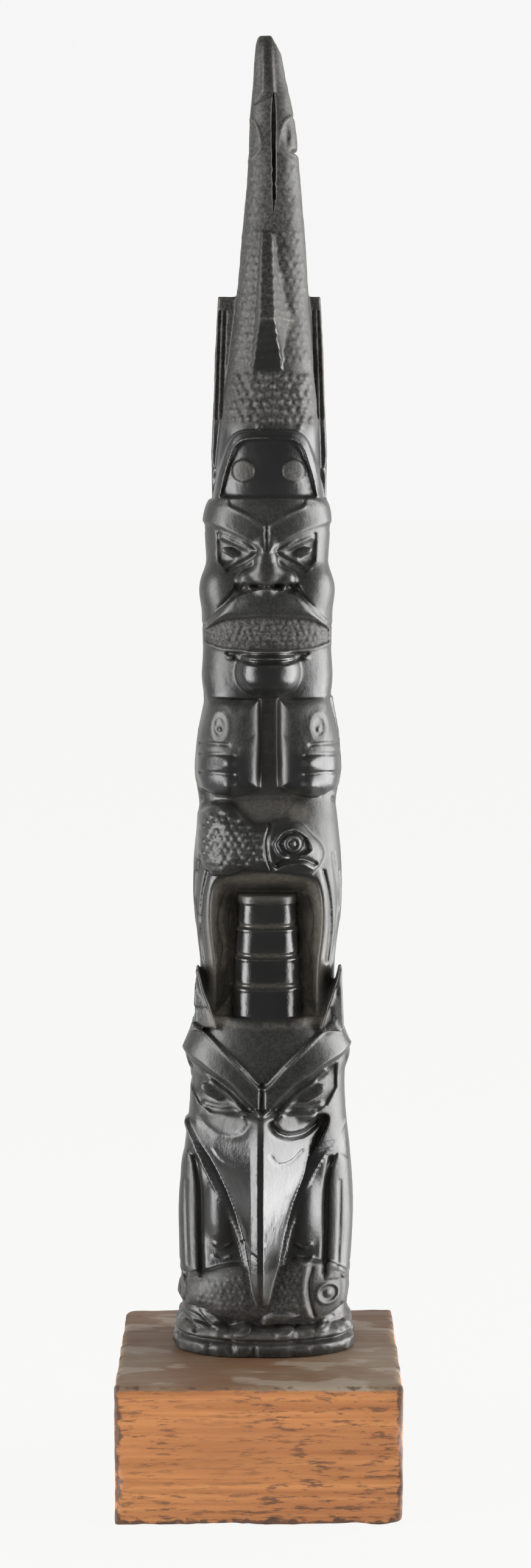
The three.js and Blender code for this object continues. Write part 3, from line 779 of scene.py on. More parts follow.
def carve_hat(clay, dust_and_reflection, matte_and_shade):
    """The raven's tall hat: four drums, each a little narrower than the one below."""
    joints = (112.3, 121.4, 130.2)
    foot, top, foot_radius, power = 101, 139.6, 10.9, 2.8

    def shape(x, y, z):
        radius = (np.abs(x - 0.5) ** power + np.abs(y - 3) ** power) ** (1 / power)
        outer = foot_radius - 2.5 * (z - foot) / 38.4
        for joint in joints:
            groove = 0.5 * np.exp(-(((z - joint) / 0.55) ** 2))
            rim = 0.4 * np.exp(-(((z - joint + 1.2) / 0.6) ** 2))
            outer = outer - groove + rim
        outer = outer + 0.45 * smooth_step(136.4, 137.2, z)
        return soft_max(radius - outer, z - top, 0.8)

    clay.add((-13, -10, 100), (14, 16, 140), shape, 0.4)
    matte_and_shade.panel([[-10.6, 103], [11.6, 103], [9.2, 137], [-8.2, 137]], -0.45)
    for joint in joints:
        dust_and_reflection.line([[-10.4, joint + 0.2], [11.4, joint + 0.2]], 1.4, 0.24)
    dust_and_reflection.line([[-8, 138.6], [9, 138.6]], 2.0, 0.2)


def carve_raven(clay, relief, dust_and_reflection, matte_and_shade):
    """The raven: a hatted head with ear blades, a great beak down its breast, and folded wings."""
    clay.body(RAVEN_BODY)
    clay.body(BASE_PLATE)
    carve_hat(clay, dust_and_reflection, matte_and_shade)
    middle = -0.8
    crest = both([[20.8, 101.6], [16.2, 97.9], [10.5, 92.7], [5, 87.3], [0.6, 82.4]], middle)
    relief.line(crest, 1.1, 0.7)
    relief.ledge(crest, [[20, 106], [-22, 106]], -0.7, 6, edge=0.6)
    relief.line([[-1.1, 82.4], [-1.1, 79], [-1.1, 75.6]], 1.2, -1.3)
    brow = [[26.4, 93.4], [22.2, 90.9], [18.6, 89], [13.9, 85.9], [9.4, 83.2], [4.6, 78.6], [1.2, 74.9]]
    above = both([[21.4, 101], [14.4, 97], [0.4, 82]], middle)[::-1]
    relief.ledge(both(brow, middle), above, 1.2, 8.0, edge=0.8)
    for side in (-1, 1):
        at = mirrored(middle, side)
        socket = at([[22.4, 88.8], [15.6, 85.8], [9.2, 82], [3.4, 75.4], [8, 74], [15.4, 73.6], [19.4, 76],
                     [22.4, 81]])
        lids = [at([[19, 86.4], [14.4, 82.9], [10.2, 79.3], [5.6, 74.9]]),
                at([[17.4, 76.4], [12.8, 75.8], [8.8, 76.1], [6, 74.6]])]
        carve_eye(clay, relief, RAVEN_BODY, side, socket, lids, at([[14.2, 80.2]])[0], (6.2, 3.6), 0.42)
        carve_wing(clay, relief, matte_and_shade, at)
        at = mirrored(0.9, side)
        blade = [[22.0, 117.4], [21.1, 117.2], [19.6, 111.4], [17.4, 105.6], [15.4, 99.6], [22.8, 99]]
        clay.prism(at(blade), -7.4, 4, edge=0.6, blend=0.8, lean=0.35 * side)
        relief.line(at([[x + 0.5, z] for x, z in blade[1:5]]), 0.9, 0.5)
        dust_and_reflection.blob((middle + side * 13.4, 102.2), (2.6, 1.4), 0.6)
    matte_and_shade.panel([[-27, 66], [25, 66], [25, 102], [-27, 102]], 0.28, edge=3)
    carve_beak(clay, relief, matte_and_shade)
    carve_lower_fish(clay, relief, dust_and_reflection, matte_and_shade)


def carve_wing(clay, relief, matte_and_shade, at):
    """One folded wing, with the breast swelling between it and the beak."""
    clay.pad(at([[11.6, -1.7, 44.5]])[0], (6.2, 7.0, 14), power=2.1, blend=2.0)
    wing = at([[19.6, 57], [19.2, 40], [18.8, 23], [27, 22], [27.6, 40], [26.4, 58], [23, 61]])
    relief.dome(wing, 1.1, 4.0)
    matte_and_shade.panel(wing, 0.25, edge=2)
    relief.line(at([[20.6, 59], [19.2, 50], [19.0, 38], [18.6, 25]]), 1.4, -1.0)
    relief.line(at([[23.4, 52], [23.3, 40], [22.8, 26]]), 0.9, -0.4)
    relief.line(at([[9.8, 33.6], [12, 32.4], [14.6, 33.2]]), 0.9, 0.4)
    relief.line(at([[10, 29.4], [12.4, 28.2], [15, 29.2]]), 0.9, 0.4)


# The beak and its lips. Each row is height, left edge, right edge, the edges' depth, the ridge's depth.
BEAK = [
    [15.6, -2.2, 1.0, -12.4, -13.6],
    [19, -3.4, 1.8, -12.2, -16.6],
    [24, -4.5, 3.0, -11.4, -18.8],
    [31, -5.7, 4.4, -10.6, -20.5],
    [38, -7.3, 5.9, -10, -21.6],
    [46, -9.8, 8.0, -9.4, -22],
    [55, -13.8, 11.5, -7.6, -21.8],
    [60, -16.7, 12.9, -6, -20.9],
    [65, -20.2, 16.2, -3, -19.4],
    [70, -21.4, 18.8, -1.2, -17.4],
    [76, -22, 20, -1.6, -14.2],
]
LIP = [
    [20, -5.2, 3.8, -10.6, -12.4],
    [27, -6.7, 5.6, -9.8, -12.2],
    [34, -8.3, 7.1, -9.4, -11.8],
    [41, -10.8, 9.1, -8.8, -11.4],
    [49, -15, 12.1, -8.2, -11],
    [55, -18.2, 15, -7, -10],
    [60, -20.8, 18, -5.4, -9],
    [65, -23.2, 21.6, -2.4, -6.8],
    [70, -25.2, 25, 1, -3],
]

# Where the ridge of the beak runs, across.
RIDGE_X = -1.5


def wedge(rows, strip, bevel, low, high, space=False):
    """A beak: a narrow flat ridge, a bevel on its left side, and flat faces out to its edges.

    It can also be the space in front of those faces, to be cleared.
    """
    bevel_slope, side_share = 0.7, 0.86

    def shape(x, y, z):
        left, right, edge, ridge = (c.reshape(z.shape) for c in along(rows, z.ravel()))
        off = np.abs(x - RIDGE_X) - strip / 2
        is_left = x < RIDGE_X
        reach = np.where(is_left, RIDGE_X - left, right - RIDGE_X) - strip / 2
        drop = np.where(is_left, bevel_slope * bevel, 0.0)
        past = np.where(is_left, bevel, 0.0)
        slope = (edge - ridge - drop) / np.maximum(reach - past, 0.5)
        on_bevel = ridge + bevel_slope * np.maximum(off, 0)
        face = np.where(off < past, on_bevel, ridge + drop + slope * (off - past))
        face = np.where(off < 0, ridge, face)
        tilt = np.where(off < past, np.where(off < 0, 0, bevel_slope), slope)
        front = (face - y) / np.hypot(1, tilt) * (-1 if space else 1)
        whole = soft_max(front, (off - reach) * side_share, 0.5)
        whole = soft_max(whole, low - z, 0.8)
        return soft_max(whole, z - high, 3)

    return shape


def carve_beak(clay, relief, matte_and_shade):
    """The great beak on its lips, with the space before its faces cleared and the lips hatched."""
    clay.add((-26, -18, 19), (26, 4, 71), wedge(LIP, 2.0, 0.0, 19, 71), 0.5)
    clay.cut((-25, -26, 30), (25, 4, 77), wedge(BEAK, 1.7, 2.1, 40, 73.4, space=True), 0.6)
    clay.add((-25, -24, 15), (25, 5, 77), wedge(BEAK, 1.7, 2.1, 15.8, 74.6), 0.4)
    for side, share in ((-1, 0.3), (1, 1)):
        at = mirrored(RIDGE_X, side)
        crease = at([[3.4, 71.4], [5.6, 68.7], [8.8, 67.4], [13.2, 67.6], [17, 70]])
        relief.dome(crease + at([[17, 75], [6, 75]]), share, 2.6)
        relief.line(crease, 2.0, -1.4 * share)
    matte_and_shade.panel([[-21, 70], [19, 70], [5, 33], [-0.2, 17], [-2.8, 17], [-8, 38]], -0.36, edge=1)
    relief.line([[1.4, 63], [3.2, 60.4], [5.4, 59.5], [8.2, 60.2], [11, 62.4]], 0.9, -0.4)
    relief.line([[-15.4, 62.6], [-13, 60.2], [-9.6, 59.6], [-5.6, 60]], 0.9, -0.3)
    relief.line([[-6.8, 35], [-4.4, 33.6], [-2, 32]], 0.7, -0.3)
    # Hatching across the lips.
    for z in np.arange(22, 64, 1.3):
        inner = [float(c[0]) for c in along(BEAK, np.array([z]))[:2]]
        outer = [float(c[0]) for c in along(LIP, np.array([z + 0.5]))[:2]]
        for a, b in zip(inner, outer):
            relief.line([[a, z], [b, z + 0.8]], 0.7, -0.22)


def carve_lower_fish(clay, relief, dust_and_reflection, matte_and_shade):
    """The fish under the beak, and the leaf shapes and the groove on the base plate below it."""
    back = [[-27.2, 16], [-25.6, 21], [-17.7, 25.2], [-10.7, 27.6], [-3.4, 27.6], [3.5, 27.4], [9, 29.2],
            [15.4, 28.4], [20.9, 25.9], [24.6, 22.6], [25.8, 18], [24.8, 14]]
    belly = [[20, 11.6], [15, 9.8], [9.9, 9.2], [2.6, 9.4], [-6.6, 10.2], [-14, 11.4], [-19.5, 13.4],
             [-26, 13.6]]
    outline = np.vstack([smooth_path(back, 4), smooth_path(belly, 3)])
    clay.cushion(outline, RAVEN_BODY, 1.8, 4.0, 6.5, blend=0.6)
    eye = (19.0, 18.9)
    relief.line(oval(eye, (3.4, 3.1)), 1.0, 0.5, smooth=False)
    relief.dome(oval(eye, (2.6, 2.4)), -0.5, 1.0)
    relief.blob(eye, (1.3, 1.2), 0.8)
    relief.line([[13.9, 26.6], [13, 22.6], [13.2, 18], [14.6, 12]], 1.1, -0.7)
    relief.line([[12.2, 26.8], [11.2, 22.6], [11.5, 17.6], [12.8, 12.2]], 1.4, 0.25)
    relief.dome([[-1.8, 9], [-0.6, 12.6], [2.6, 14], [6.6, 13.8], [10.2, 12.8], [6.2, 10.4]], 1.1, 1.6)
    relief.line([[-24.4, 22.4], [-24, 18], [-24.8, 14]], 1.0, -0.9)
    relief.line([[22.6, 24.6], [23.4, 20], [22.8, 14]], 0.8, -0.5)
    for patch in ([[-22, 15], [-5, 12.6], [-5, 25], [-20, 23]], [[3, 14.6], [12, 14], [11, 27.4], [4, 26]]):
        relief.pebbles(patch, (1.8, 1.9), (0.6, 0.65), 0.34, seed=11)
    matte_and_shade.panel(outline, 0.6, edge=1)
    matte_and_shade.panel([[-29, -1], [29, -1], [27, 11.6], [18, 9.8], [-14, 10], [-27, 12.6]], 0.36, edge=1)
    leaves = ([(-20.6, 12.4), (-11, 7.4)], [(-9.8, 6.2), (-3.6, 9.4)], [(15, 7.2), (20.6, 9.8)],
              [(3, 6.6), (9, 8.4)], [(-26, 11.4), (-17, 8)])
    for start, end in leaves:
        relief.dome(leaf(start, end, 3.0), 0.9, 1.5)
        relief.line([start, end], 0.8, -0.3)
    relief.line([[-27, 4.7], [0, 4.6], [27, 4.7]], 1.1, -0.9)
    dust_and_reflection.line([[-26, 8], [-10, 6], [10, 6.4], [25, 8.6]], 2.4, 0.18)


def weather(clay):
    """Small chips and a hand-cut unevenness, strongest round the base plate and on the whale."""
    x, y, z = clay.grid()
    for part in clay.layers():
        height = z[..., part]
        amount = 0.05 + 0.34 * smooth_step(13, 7, height) + 0.06 * smooth_step(276, 284, height)
        clay.field[:, :, part] += amount * (0.4 + value_noise(x, y, height, 2.1, 31))
        chip = value_noise(x, y, height, 3.4, 32)
        clay.field[:, :, part] += 0.9 * smooth_step(0.4, 0.8, chip) * smooth_step(9, 6, height)


def carve_flanks(relief):
    """The sides carry a few of the front's lines on, plainer and shallower. Depth runs along X here."""
    for y in (5.5, 10.5, 15.5):
        relief.line([[y - 2, 56], [y + 0.5, 48], [y, 38], [y - 1.5, 26]], 1.2, -0.7)
    relief.line([[0, 90], [6, 84], [14, 80], [21, 80]], 1.3, -0.8)
    relief.line([[2, 22], [8, 26], [15, 25], [21, 20]], 1.3, -0.8)
    for y in (1.5, 6.5):
        relief.line([[y, 118], [y + 1.5, 124], [y - 0.5, 131], [y + 1, 139], [y, 146]], 1.2, -0.7)
    relief.line([[4, 168], [10, 165], [16, 158], [17, 146], [14, 134], [15, 122]], 1.3, -0.8)
    relief.line([[0, 170], [8, 172], [15, 180], [17, 190], [12, 197]], 1.3, -0.8)
    relief.line([[2, 250], [9, 247], [14, 240], [14, 228], [8, 219]], 1.3, -0.8)
    relief.line(oval((9, 240), (2.6, 4.4)), 1.1, -0.6, smooth=False)
    relief.line([[4, 262], [10, 272], [16, 276]], 1.2, -0.6)


def carve_back(clay):
    """The back is left flat, with broad shallow marks from the blade."""
    x, y, z = clay.grid()
    behind = smooth_step(13, 20, y)
    for part in clay.layers():
        marks = 0.22 * value_noise(x / 4.5, 0 * y[:, :1], z[..., part] / 11, 1.0, 21)
        clay.field[:, :, part] += (0.3 + marks) * behind


# ---- From clay to mesh ---------------------------------------------------------------------


def skin(clay):
    """Surface nets: one point in each voxel that the surface passes, joined into quads."""
    field = clay.field
    inside = field < 0
    cells = np.array(field.shape) - 1
    ids, places, quads = [], [], []
    for axis in range(3):
        lower = [slice(None)] * 3
        upper = [slice(None)] * 3
        lower[axis], upper[axis] = slice(0, -1), slice(1, None)
        spots = np.argwhere(inside[tuple(lower)] != inside[tuple(upper)])
        step = np.zeros(3, int)
        step[axis] = 1
        a = field[tuple(spots.T)]
        b = field[tuple((spots + step).T)]
        place = spots + step * (a / (a - b))[:, None]
        others = [k for k in range(3) if k != axis]
        around = []
        for du, dv in ((0, 0), (-1, 0), (-1, -1), (0, -1)):
            cell = spots.copy()
            cell[:, others[0]] += du
            cell[:, others[1]] += dv
            around.append(np.ravel_multi_index(cell.T, cells))
        around = np.stack(around, 1)
        ids.append(around.ravel())
        places.append(np.repeat(place, 4, 0))
        flip = (a < 0) == (axis == 1)
        around[flip] = around[flip][:, ::-1]
        quads.append(around)
    ids, places = np.concatenate(ids), np.concatenate(places)
    names, index = np.unique(ids, return_inverse=True)
    count = np.bincount(index)
    points = np.stack([np.bincount(index, places[:, k]) / count for k in range(3)], 1)
    points = points * clay.step + [axis[0] for axis in clay.axes]
    return points, np.searchsorted(names, np.concatenate(quads))


def read_field(clay, points):
    """The distance at any points, read between voxels."""
    low = np.array([axis[0] for axis in clay.axes])
    place = (points - low) / clay.step
    base = np.clip(place.astype(int), 0, np.array(clay.field.shape) - 2)
    part = np.clip(place - base, 0, 1)
    values = np.zeros(len(points))
    for corner in np.ndindex(2, 2, 2):
        weight = np.prod(np.where(corner, part, 1 - part), axis=1)
        values += weight * clay.field[tuple((base + corner).T)]
    return values


def slope_of(clay, points):
    """How the distance grows along each axis."""
    slopes = np.zeros((len(points), 3))
    for k in range(3):
        reach = np.zeros(3)
        reach[k] = clay.step
        slopes[:, k] = read_field(clay, points + reach) - read_field(clay, points - reach)
    return slopes / (2 * clay.step)


def build_mesh(name, points, faces):
    mesh = bpy.data.meshes.new(name)
    mesh.vertices.add(len(points))
    mesh.vertices.foreach_set("co", np.asarray(points, np.float32).ravel())
    mesh.loops.add(faces.size)
    mesh.loops.foreach_set("vertex_index", faces.astype(np.int32).ravel())
    mesh.polygons.add(len(faces))
    mesh.polygons.foreach_set("loop_start", np.arange(0, faces.size, faces.shape[1], dtype=np.int32))
    mesh.update(calc_edges=True)
    piece = bpy.data.objects.new(name, mesh)
    bpy.context.scene.collection.objects.link(piece)
    return piece


def apply_modifiers(piece):
    """Makes what the modifiers show the piece's own mesh."""
    shown = piece.evaluated_get(bpy.context.evaluated_depsgraph_get())
    mesh = bpy.data.meshes.new_from_object(shown)
    piece.modifiers.clear()
    piece.data = mesh


def sculpted(name, clay, most_triangles, place):
    """The clay's skin as an object: thinned, drawn back onto the surface, and given its normals."""
    points, faces = skin(clay)
    piece = build_mesh(name, points, faces)
    fewer = piece.modifiers.new("fewer", "DECIMATE")
    fewer.ratio = min(1.0, most_triangles / (2 * len(faces)))
    apply_modifiers(piece)
    mesh = piece.data
    points = np.zeros(len(mesh.vertices) * 3, np.float32)
    mesh.vertices.foreach_get("co", points)
    points = points.reshape(-1, 3).astype(float)
    slopes = slope_of(clay, points)
    length = np.linalg.norm(slopes, axis=1, keepdims=True)
    furthest, least_slope = 0.2, 0.3
    off = np.clip(read_field(clay, points), -furthest, furthest)[:, None]
    points -= off * slopes / np.maximum(length, least_slope) ** 2
    points[:, 2] = np.maximum(points[:, 2], 0)
    slopes = slope_of(clay, points)
    normals = slopes / np.maximum(np.linalg.norm(slopes, axis=1, keepdims=True), 1e-6)
    mesh.vertices.foreach_set("co", ((points + place) * MM).astype(np.float32).ravel())
    mesh.update()
    mesh.polygons.foreach_set("use_smooth", np.ones(len(mesh.polygons), bool))
    mesh.normals_split_custom_set_from_vertices(normals)
    return piece, points, normals


def mark(piece, name, values):
    """Stores a number at every point of a mesh for its material to read."""
    attribute = piece.data.attributes.new(name, "FLOAT", "POINT")
    attribute.data.foreach_set("value", np.asarray(values, np.float32))


def hollow(clay, points, normals, reach):
    """How much stone stands round a point, from 0 in the open to 1 in a deep corner."""
    room = read_field(clay, points + reach * normals)
    return np.clip(1 - room / reach, 0, 1)


def bend(clay, points, normals, reach):
    """How sharply the surface turns: above zero on edges, and below it in creases."""
    lift = 0.3 * normals
    out = read_field(clay, points + lift)
    total = np.zeros(len(points))
    side = np.cross(normals, [0.31, 0.52, 0.79])
    side /= np.maximum(np.linalg.norm(side, axis=1, keepdims=True), 1e-6)
    other = np.cross(normals, side)
    for way in (side, -side, other, -other):
        total += read_field(clay, points + reach * way + lift)
    return (total / 4 - out) / reach


def carved_pole():
    """The whole pole as one mesh, with what its stone needs to know stored at its points."""
    clay = Clay((-29.6, -26, -1.2), (29.6, 26, 397.2), STEP)
    # The reliefs cover a little more of the front view than the clay does.
    low, high = (-31, -2), (31, 398)
    relief = Relief(low, high, RELIEF_STEP)
    dust_and_reflection = Relief(low, high, TONE_STEP)
    matte_and_shade = Relief(low, high, TONE_STEP)
    carve_bear(clay, relief, dust_and_reflection, matte_and_shade)
    carve_raven(clay, relief, dust_and_reflection, matte_and_shade)
    carve_whale(clay, relief, dust_and_reflection, matte_and_shade)
    clay.front(relief)
    weather(clay)
    flank = Relief((-14, -2), (26, 398), RELIEF_STEP)
    carve_flanks(flank)
    clay.sides(flank)
    carve_back(clay)
    below_foot = -clay.axes[2]
    clay.field = np.maximum(clay.field, below_foot).astype(np.float32)
    stands_at = [POLE_X, 0, BLOCK_TOP]
    piece, points, normals = sculpted("carved_pole", clay, POLE_TRIANGLES, stands_at)

    near, wide = (hollow(clay, points, normals, reach) for reach in (1.4, 2.8))
    mark(piece, "hollow", 0.5 * near + 0.5 * wide)
    mark(piece, "bend", bend(clay, points, normals, 0.8))
    x, _, z = points.T
    faces_front = smooth_step(0.3, -0.1, normals[:, 1])
    mark(piece, "dust_and_reflection", dust_and_reflection.read(x, z) * faces_front)
    # The whale is matte all round, and the figures below it only where their fronts are marked so.
    whale_sides = smooth_step(276, 282, z) * (1 - faces_front)
    mark(piece, "matte_and_shade", np.clip(matte_and_shade.read(x, z) * faces_front + 0.8 * whale_sides, -1, 1))
    return piece


# ---- Materials -----------------------------------------------------------------------------


class Nodes:
    """Adds nodes to a tree. Each call gives back one output of its node."""

    def __init__(self, tree):
        self.tree = tree

    def node(self, kind, output, inputs, **settings):
        node = self.tree.nodes.new(kind)
        for key, value in settings.items():
            setattr(node, key, value)
        for key, value in inputs.items():
            self.plug(node.inputs[key], value)
        return node.outputs[output]

    def plug(self, socket, value):
        if isinstance(value, bpy.types.NodeSocket):
            self.tree.links.new(value, socket)
        else:
            socket.default_value = value


class Paint(Nodes):
    """A material in the making."""

    def __init__(self, name):
        self.material = bpy.data.materials.new(name)
        self.material.use_nodes = True
        super().__init__(self.material.node_tree)
        self.shader = self.tree.nodes["Principled BSDF"]
        self.where = self.node("ShaderNodeTexCoord", "Object", {})

    def set(self, **values):
        for key, value in values.items():
            self.plug(self.shader.inputs[key.replace("_", " ")], value)

    def math(self, operation, a, b=0.0, clamp=False):
        inputs = {0: a, 1: b}
        return self.node("ShaderNodeMath", "Value", inputs, operation=operation, use_clamp=clamp)

    def plus(self, a, b, clamp=False):
        return self.math("ADD", a, b, clamp)

    def times(self, a, b, clamp=False):
        return self.math("MULTIPLY", a, b, clamp)

    def noise(self, scale, detail, stretch=(1, 1, 1), rough=0.55):
        place = self.node("ShaderNodeVectorMath", "Vector", {0: self.where, 1: stretch}, operation="MULTIPLY")
        inputs = {"Vector": place, "Scale": scale, "Detail": detail, "Roughness": rough}
        return self.node("ShaderNodeTexNoise", "Fac", inputs)

    def span(self, value, low, high, out_low=0.0, out_high=1.0):
        """The value carried from one range to another, and held at its ends."""
        inputs = {"Value": value, "From Min": low, "From Max": high, "To Min": out_low, "To Max": out_high}
        return self.node("ShaderNodeMapRange", "Result", inputs)

    def mix(self, share, a, b):
        """One colour turning into another. The sockets for colours are the node's 6 and 7, and output 2."""
        return self.node("ShaderNodeMix", 2, {0: share, 6: a, 7: b}, data_type="RGBA")

    def attribute(self, name):
        return self.node("ShaderNodeAttribute", "Fac", {}, attribute_name=name)

    def coordinates(self):
        split = self.node("ShaderNodeSeparateXYZ", "X", {"Vector": self.where}).node
        return list(split.outputs)

    def bump(self, height, distance):
        inputs = {"Height": height, "Distance": distance}
        self.plug(self.shader.inputs["Normal"], self.node("ShaderNodeBump", "Normal", inputs))


def argillite():
    """Black polished stone: rubbed to a shine below, matte on the whale, with dust in its hollows."""
    black, paler_black = (0.0050, 0.0053, 0.0050, 1), (0.0125, 0.0128, 0.0122, 1)
    pit, stipple_and_highlight = (0.0065, 0.0066, 0.006, 1), (0.048, 0.045, 0.037, 1)
    pale_edge_tone = (0.09, 0.088, 0.084, 1)
    dark_dust_and_reflection, pale_dust_and_reflection = (0.095, 0.085, 0.066, 1), (0.19, 0.172, 0.137, 1)

    paint = Paint("argillite")
    clouds = paint.noise(70, 6)
    fine = paint.noise(900, 5, rough=0.7)
    streaks = paint.noise(160, 4, (1, 1, 0.35))
    speck = paint.noise(1300, 2)
    matte_and_shade = paint.attribute("matte_and_shade")
    bend = paint.attribute("bend")

    # On the matte parts the stone is speckled pale at random, and convex tops are painted paler still: a
    # painted highlight on each bump.
    specks_and_lit_tops = paint.plus(paint.span(speck, 0.45, 0.56, 0, 0.65), paint.span(bend, 0, 0.2, 0, 0.6), clamp=True)
    stone = paint.mix(clouds, black, paler_black)
    # The matte mark brings this paler tone. Where it is taken away under the whale's fin, the black left
    # there is painted shade.
    stone = paint.mix(matte_and_shade, stone, paint.mix(specks_and_lit_tops, pit, stipple_and_highlight))

    # Convex edges are a little paler along streaks, and dust lies in what is hollow and where it was laid.
    pale_edges = paint.times(paint.span(bend, 0.1, 0.5), paint.span(streaks, 0.42, 0.62), clamp=True)
    stone = paint.mix(paint.times(pale_edges, 0.55), stone, pale_edge_tone)
    patches = paint.span(clouds, 0.38, 0.62)
    speckle = paint.span(paint.span(fine, 0.35, 0.65), 0, 1, 0.55, 1.0)
    lies = paint.times(paint.span(paint.attribute("hollow"), 0.45, 0.95), patches)
    # The dust mark holds dust and one painted reflection, the pale square above the salmon.
    lies = paint.plus(paint.times(lies, 0.3), paint.attribute("dust_and_reflection"), clamp=True)
    lies = paint.times(lies, speckle, clamp=True)
    paint.set(Base_Color=paint.mix(lies, stone, paint.mix(fine, dark_dust_and_reflection, pale_dust_and_reflection)))

    rough = paint.span(clouds, 0.3, 0.7, 0.22, 0.36)
    rough = paint.plus(rough, paint.times(matte_and_shade, 0.36))
    rough = paint.plus(rough, paint.times(lies, 0.4), clamp=True)
    paint.set(Roughness=rough, IOR=1.6)
    paint.bump(paint.plus(paint.times(fine, 0.5), streaks), 0.00016)
    return paint.material


def wood():
    """Stained softwood, its grain along X: darkened and chipped edges, and a smeared, dusty top."""
    stain, pale_stain = (0.27, 0.1, 0.03, 1), (0.4, 0.165, 0.052, 1)
    broad_stain, fleck_stain = (0.25, 0.088, 0.029, 1), (0.115, 0.048, 0.021, 1)
    top_stain, worn_top = (0.115, 0.06, 0.03, 1), (0.14, 0.099, 0.062, 1)
    smear, top_blot = (0.25, 0.212, 0.165, 1), (0.12, 0.058, 0.03, 1)
    dark_edge_tone = (0.045, 0.024, 0.016, 1)

    low, high = (np.array(corner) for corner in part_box("wood_block"))
    paint = Paint("stained_wood")
    x, y, z = paint.coordinates()

    def inwards(value, k):
        """How far within the block's sides a point lies along one axis."""
        off = paint.math("SUBTRACT", value, float(low[k] + high[k]) / 2)
        return paint.math("SUBTRACT", float(high[k] - low[k]) / 2, paint.math("ABSOLUTE", off))

    dx, dy, dz = inwards(x, 0), inwards(y, 1), inwards(z, 2)
    # How far the nearest upright edge is, and the nearest level one. Those of the top are darkened less.
    upright = paint.math("MAXIMUM", dx, dy)
    level = paint.math("MAXIMUM", dz, paint.math("MINIMUM", dx, dy))
    level = paint.plus(level, paint.span(z, 0.02, 0.04, 0, 0.0011))
    to_edge = paint.math("MINIMUM", upright, level)
    from_top = paint.math("SUBTRACT", float(high[2]), z)

    broad = paint.noise(9, 4, (1, 5, 7))
    grain = paint.noise(90, 6, (0.12, 4, 6))
    flecks = paint.noise(760, 5, (0.17, 1, 1.1), rough=0.72)
    blots = paint.noise(24, 5)
    smears = paint.noise(26, 6, (1, 2.4, 1), rough=0.6)
    wear = paint.noise(240, 5)

    side = paint.mix(paint.span(grain, 0.35, 0.65), stain, pale_stain)
    side = paint.mix(paint.span(broad, 0.42, 0.62, 0, 0.45), side, broad_stain)
    # Towards the bottom of the sides the dark flecks grow denser.
    lower = paint.span(z, 0.002, 0.014, 0.55, 0.0)
    dense = paint.plus(paint.span(blots, 0.42, 0.62, 0.3, 1.0), lower, clamp=True)
    side = paint.mix(paint.times(paint.span(flecks, 0.52, 0.6), dense), side, fleck_stain)

    top = paint.mix(paint.span(blots, 0.42, 0.58), top_stain, worn_top)
    top = paint.mix(paint.span(smears, 0.54, 0.575, 0, 0.5), top, smear)
    top = paint.mix(paint.span(broad, 0.54, 0.64, 0, 0.6), top, top_blot)
    ragged_top = paint.plus(from_top, paint.span(wear, 0.3, 0.7, 0, 0.0007))
    colour = paint.mix(paint.span(ragged_top, 0.0014, 0.0021, 1, 0), side, top)

    # The edges are darkened, raggedly.
    ragged = paint.span(wear, 0.34, 0.7, 0.0009, 0.0034)
    edge = paint.span(paint.math("SUBTRACT", ragged, to_edge), 0, 0.0008, 0, 0.85)
    paint.set(Base_Color=paint.mix(edge, colour, dark_edge_tone), Roughness=paint.span(grain, 0.3, 0.7, 0.5, 0.75))
    paint.bump(paint.plus(grain, paint.times(flecks, 0.6)), 0.0003)
    return paint.material


# ---- Scene ---------------------------------------------------------------------------------


def wooden_block():
    """A sawn block with worn edges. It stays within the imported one."""
    low, high = (np.array(corner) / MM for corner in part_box("wood_block"))
    middle, half = (low + high) / 2, (high - low) / 2
    clay = Clay(low - 2, high + 2, 2 * STEP)
    x, y, z = (axis - centre for axis, centre in zip(clay.grid(), middle))
    wear = 0.9 + 0.7 * value_noise(x, y, z, 7, 5) + 0.35 * value_noise(x, y, z, 2.6, 6)
    wear = np.maximum(wear, 0.3)
    field = soft_max(np.abs(x) - half[0], np.abs(y) - half[1], 2.6 * wear)
    field = soft_max(field, np.abs(z) - half[2], 2.2 * wear)
    saw = 0.05 * value_noise(x / 9, y, z, 1.4, 7) + 0.1 * value_noise(x / 4, y, z, 5, 8)
    clay.field = (field + 0.16 + saw).astype(np.float32)
    clay.field = np.maximum(clay.field, low[2] - clay.axes[2]).astype(np.float32)
    return sculpted("worn_block", clay, BLOCK_TRIANGLES, [0, 0, 0])[0]


def floor():
    """A pale floor that runs out of sight. It shines of itself, so that it stays even to the horizon."""
    glow, tint = 0.915, (1, 1, 0.985, 1)
    bpy.ops.mesh.primitive_plane_add(size=60)
    plane = bpy.context.object
    plane.name = "floor"
    paint = Paint("pale_floor")
    paint.set(Base_Color=(0.02, 0.02, 0.02, 1), Roughness=1.0, Specular_IOR_Level=0.0)
    paint.set(Emission_Color=tint, Emission_Strength=glow)
    plane.data.materials.append(paint.material)
    plane.visible_glossy = False
    plane.visible_shadow = False


def softbox(name, azimuth, height, distance, size, power):
    """A rectangular light that faces the pole. Its azimuth is counted from the camera's side."""
    light = bpy.data.lights.new(name, "AREA")
    light.shape = "RECTANGLE"
    light.size, light.size_y = size
    light.energy = power
    lamp = bpy.data.objects.new(name, light)
    bpy.context.scene.collection.objects.link(lamp)
    turn = np.radians(azimuth)
    lamp.location = (distance * np.sin(turn), -distance * np.cos(turn), height)
    aim = Vector(LAMP_AIM) - lamp.location
    lamp.rotation_euler = aim.to_track_quat("-Z", "Y").to_euler()
    lamp.visible_camera = False
    return lamp


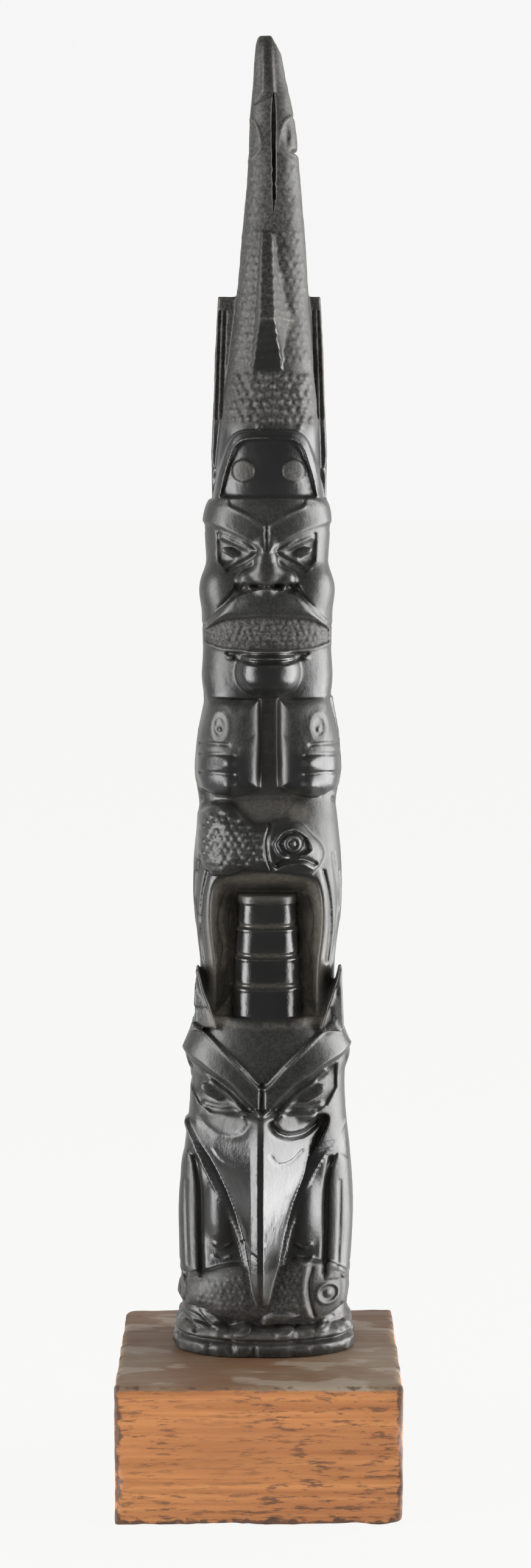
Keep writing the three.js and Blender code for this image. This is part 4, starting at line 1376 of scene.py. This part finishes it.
def camera():
    """The photograph's own view: a long lens above the middle of the pole, tilted down."""
    distance, height, tilt = 0.9027, (BLOCK_TOP + 261) * MM, 5.58
    lens = bpy.data.cameras.new("camera")
    lens.sensor_width = 36
    lens.lens = 69.26
    eye = bpy.data.objects.new("camera", lens)
    bpy.context.scene.collection.objects.link(eye)
    eye.location = (POLE_X * MM, -distance, height)
    eye.rotation_euler = (np.radians(90 - tilt), 0, 0)
    bpy.context.scene.camera = eye


def studio_world():
    """White to any camera. As light and in reflections it is white behind the object and dim before it."""
    strength = 0.925
    greys = ((0.36, 0.1), (0.56, 0.28), (0.88, 1))
    world = bpy.data.worlds.new("studio")
    world.use_nodes = True
    nodes = Nodes(world.node_tree)
    way = nodes.node("ShaderNodeTexCoord", "Generated", {})
    depth = nodes.node("ShaderNodeSeparateXYZ", "Y", {"Vector": way})
    share = nodes.node("ShaderNodeMapRange", "Result", {"Value": depth, "From Min": -1})
    tone = nodes.node("ShaderNodeValToRGB", "Color", {"Fac": share})
    elements = tone.node.color_ramp.elements
    elements.new(0.5)
    for element, (position, grey) in zip(elements, greys):
        element.position = position
        element.color = (grey, grey, grey, 1)
    from_camera = nodes.node("ShaderNodeLightPath", "Is Camera Ray", {})
    inputs = {"Fac": from_camera, "Color1": tone, "Color2": (1, 1, 1, 1)}
    seen = nodes.node("ShaderNodeMixRGB", "Color", inputs)
    background = world.node_tree.nodes["Background"]
    nodes.plug(background.inputs["Color"], seen)
    nodes.plug(background.inputs["Strength"], strength)
    bpy.context.scene.world = world


def lighting():
    """A broad lamp on each side, a weak one high behind the camera, and the world."""
    studio_world()
    softbox("left", azimuth=-67, height=0.2, distance=0.95, size=(0.5, 1.3), power=19)
    softbox("right", azimuth=90, height=0.2, distance=0.95, size=(1.08, 1.3), power=40)
    fill = softbox("fill", azimuth=-10, height=1.0, distance=1.5, size=(1.2, 1.2), power=13)
    fill.visible_glossy = False
    bpy.context.scene.view_settings.view_transform = "Standard"


pole_piece = carved_pole()
pole_piece.data.materials.append(argillite())
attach(pole_piece, "root")
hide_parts("argillite_pole")

block_piece = wooden_block()
block_piece.data.materials.append(wood())
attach(block_piece, "root")
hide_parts("wood_block")

floor()
lighting()
camera()
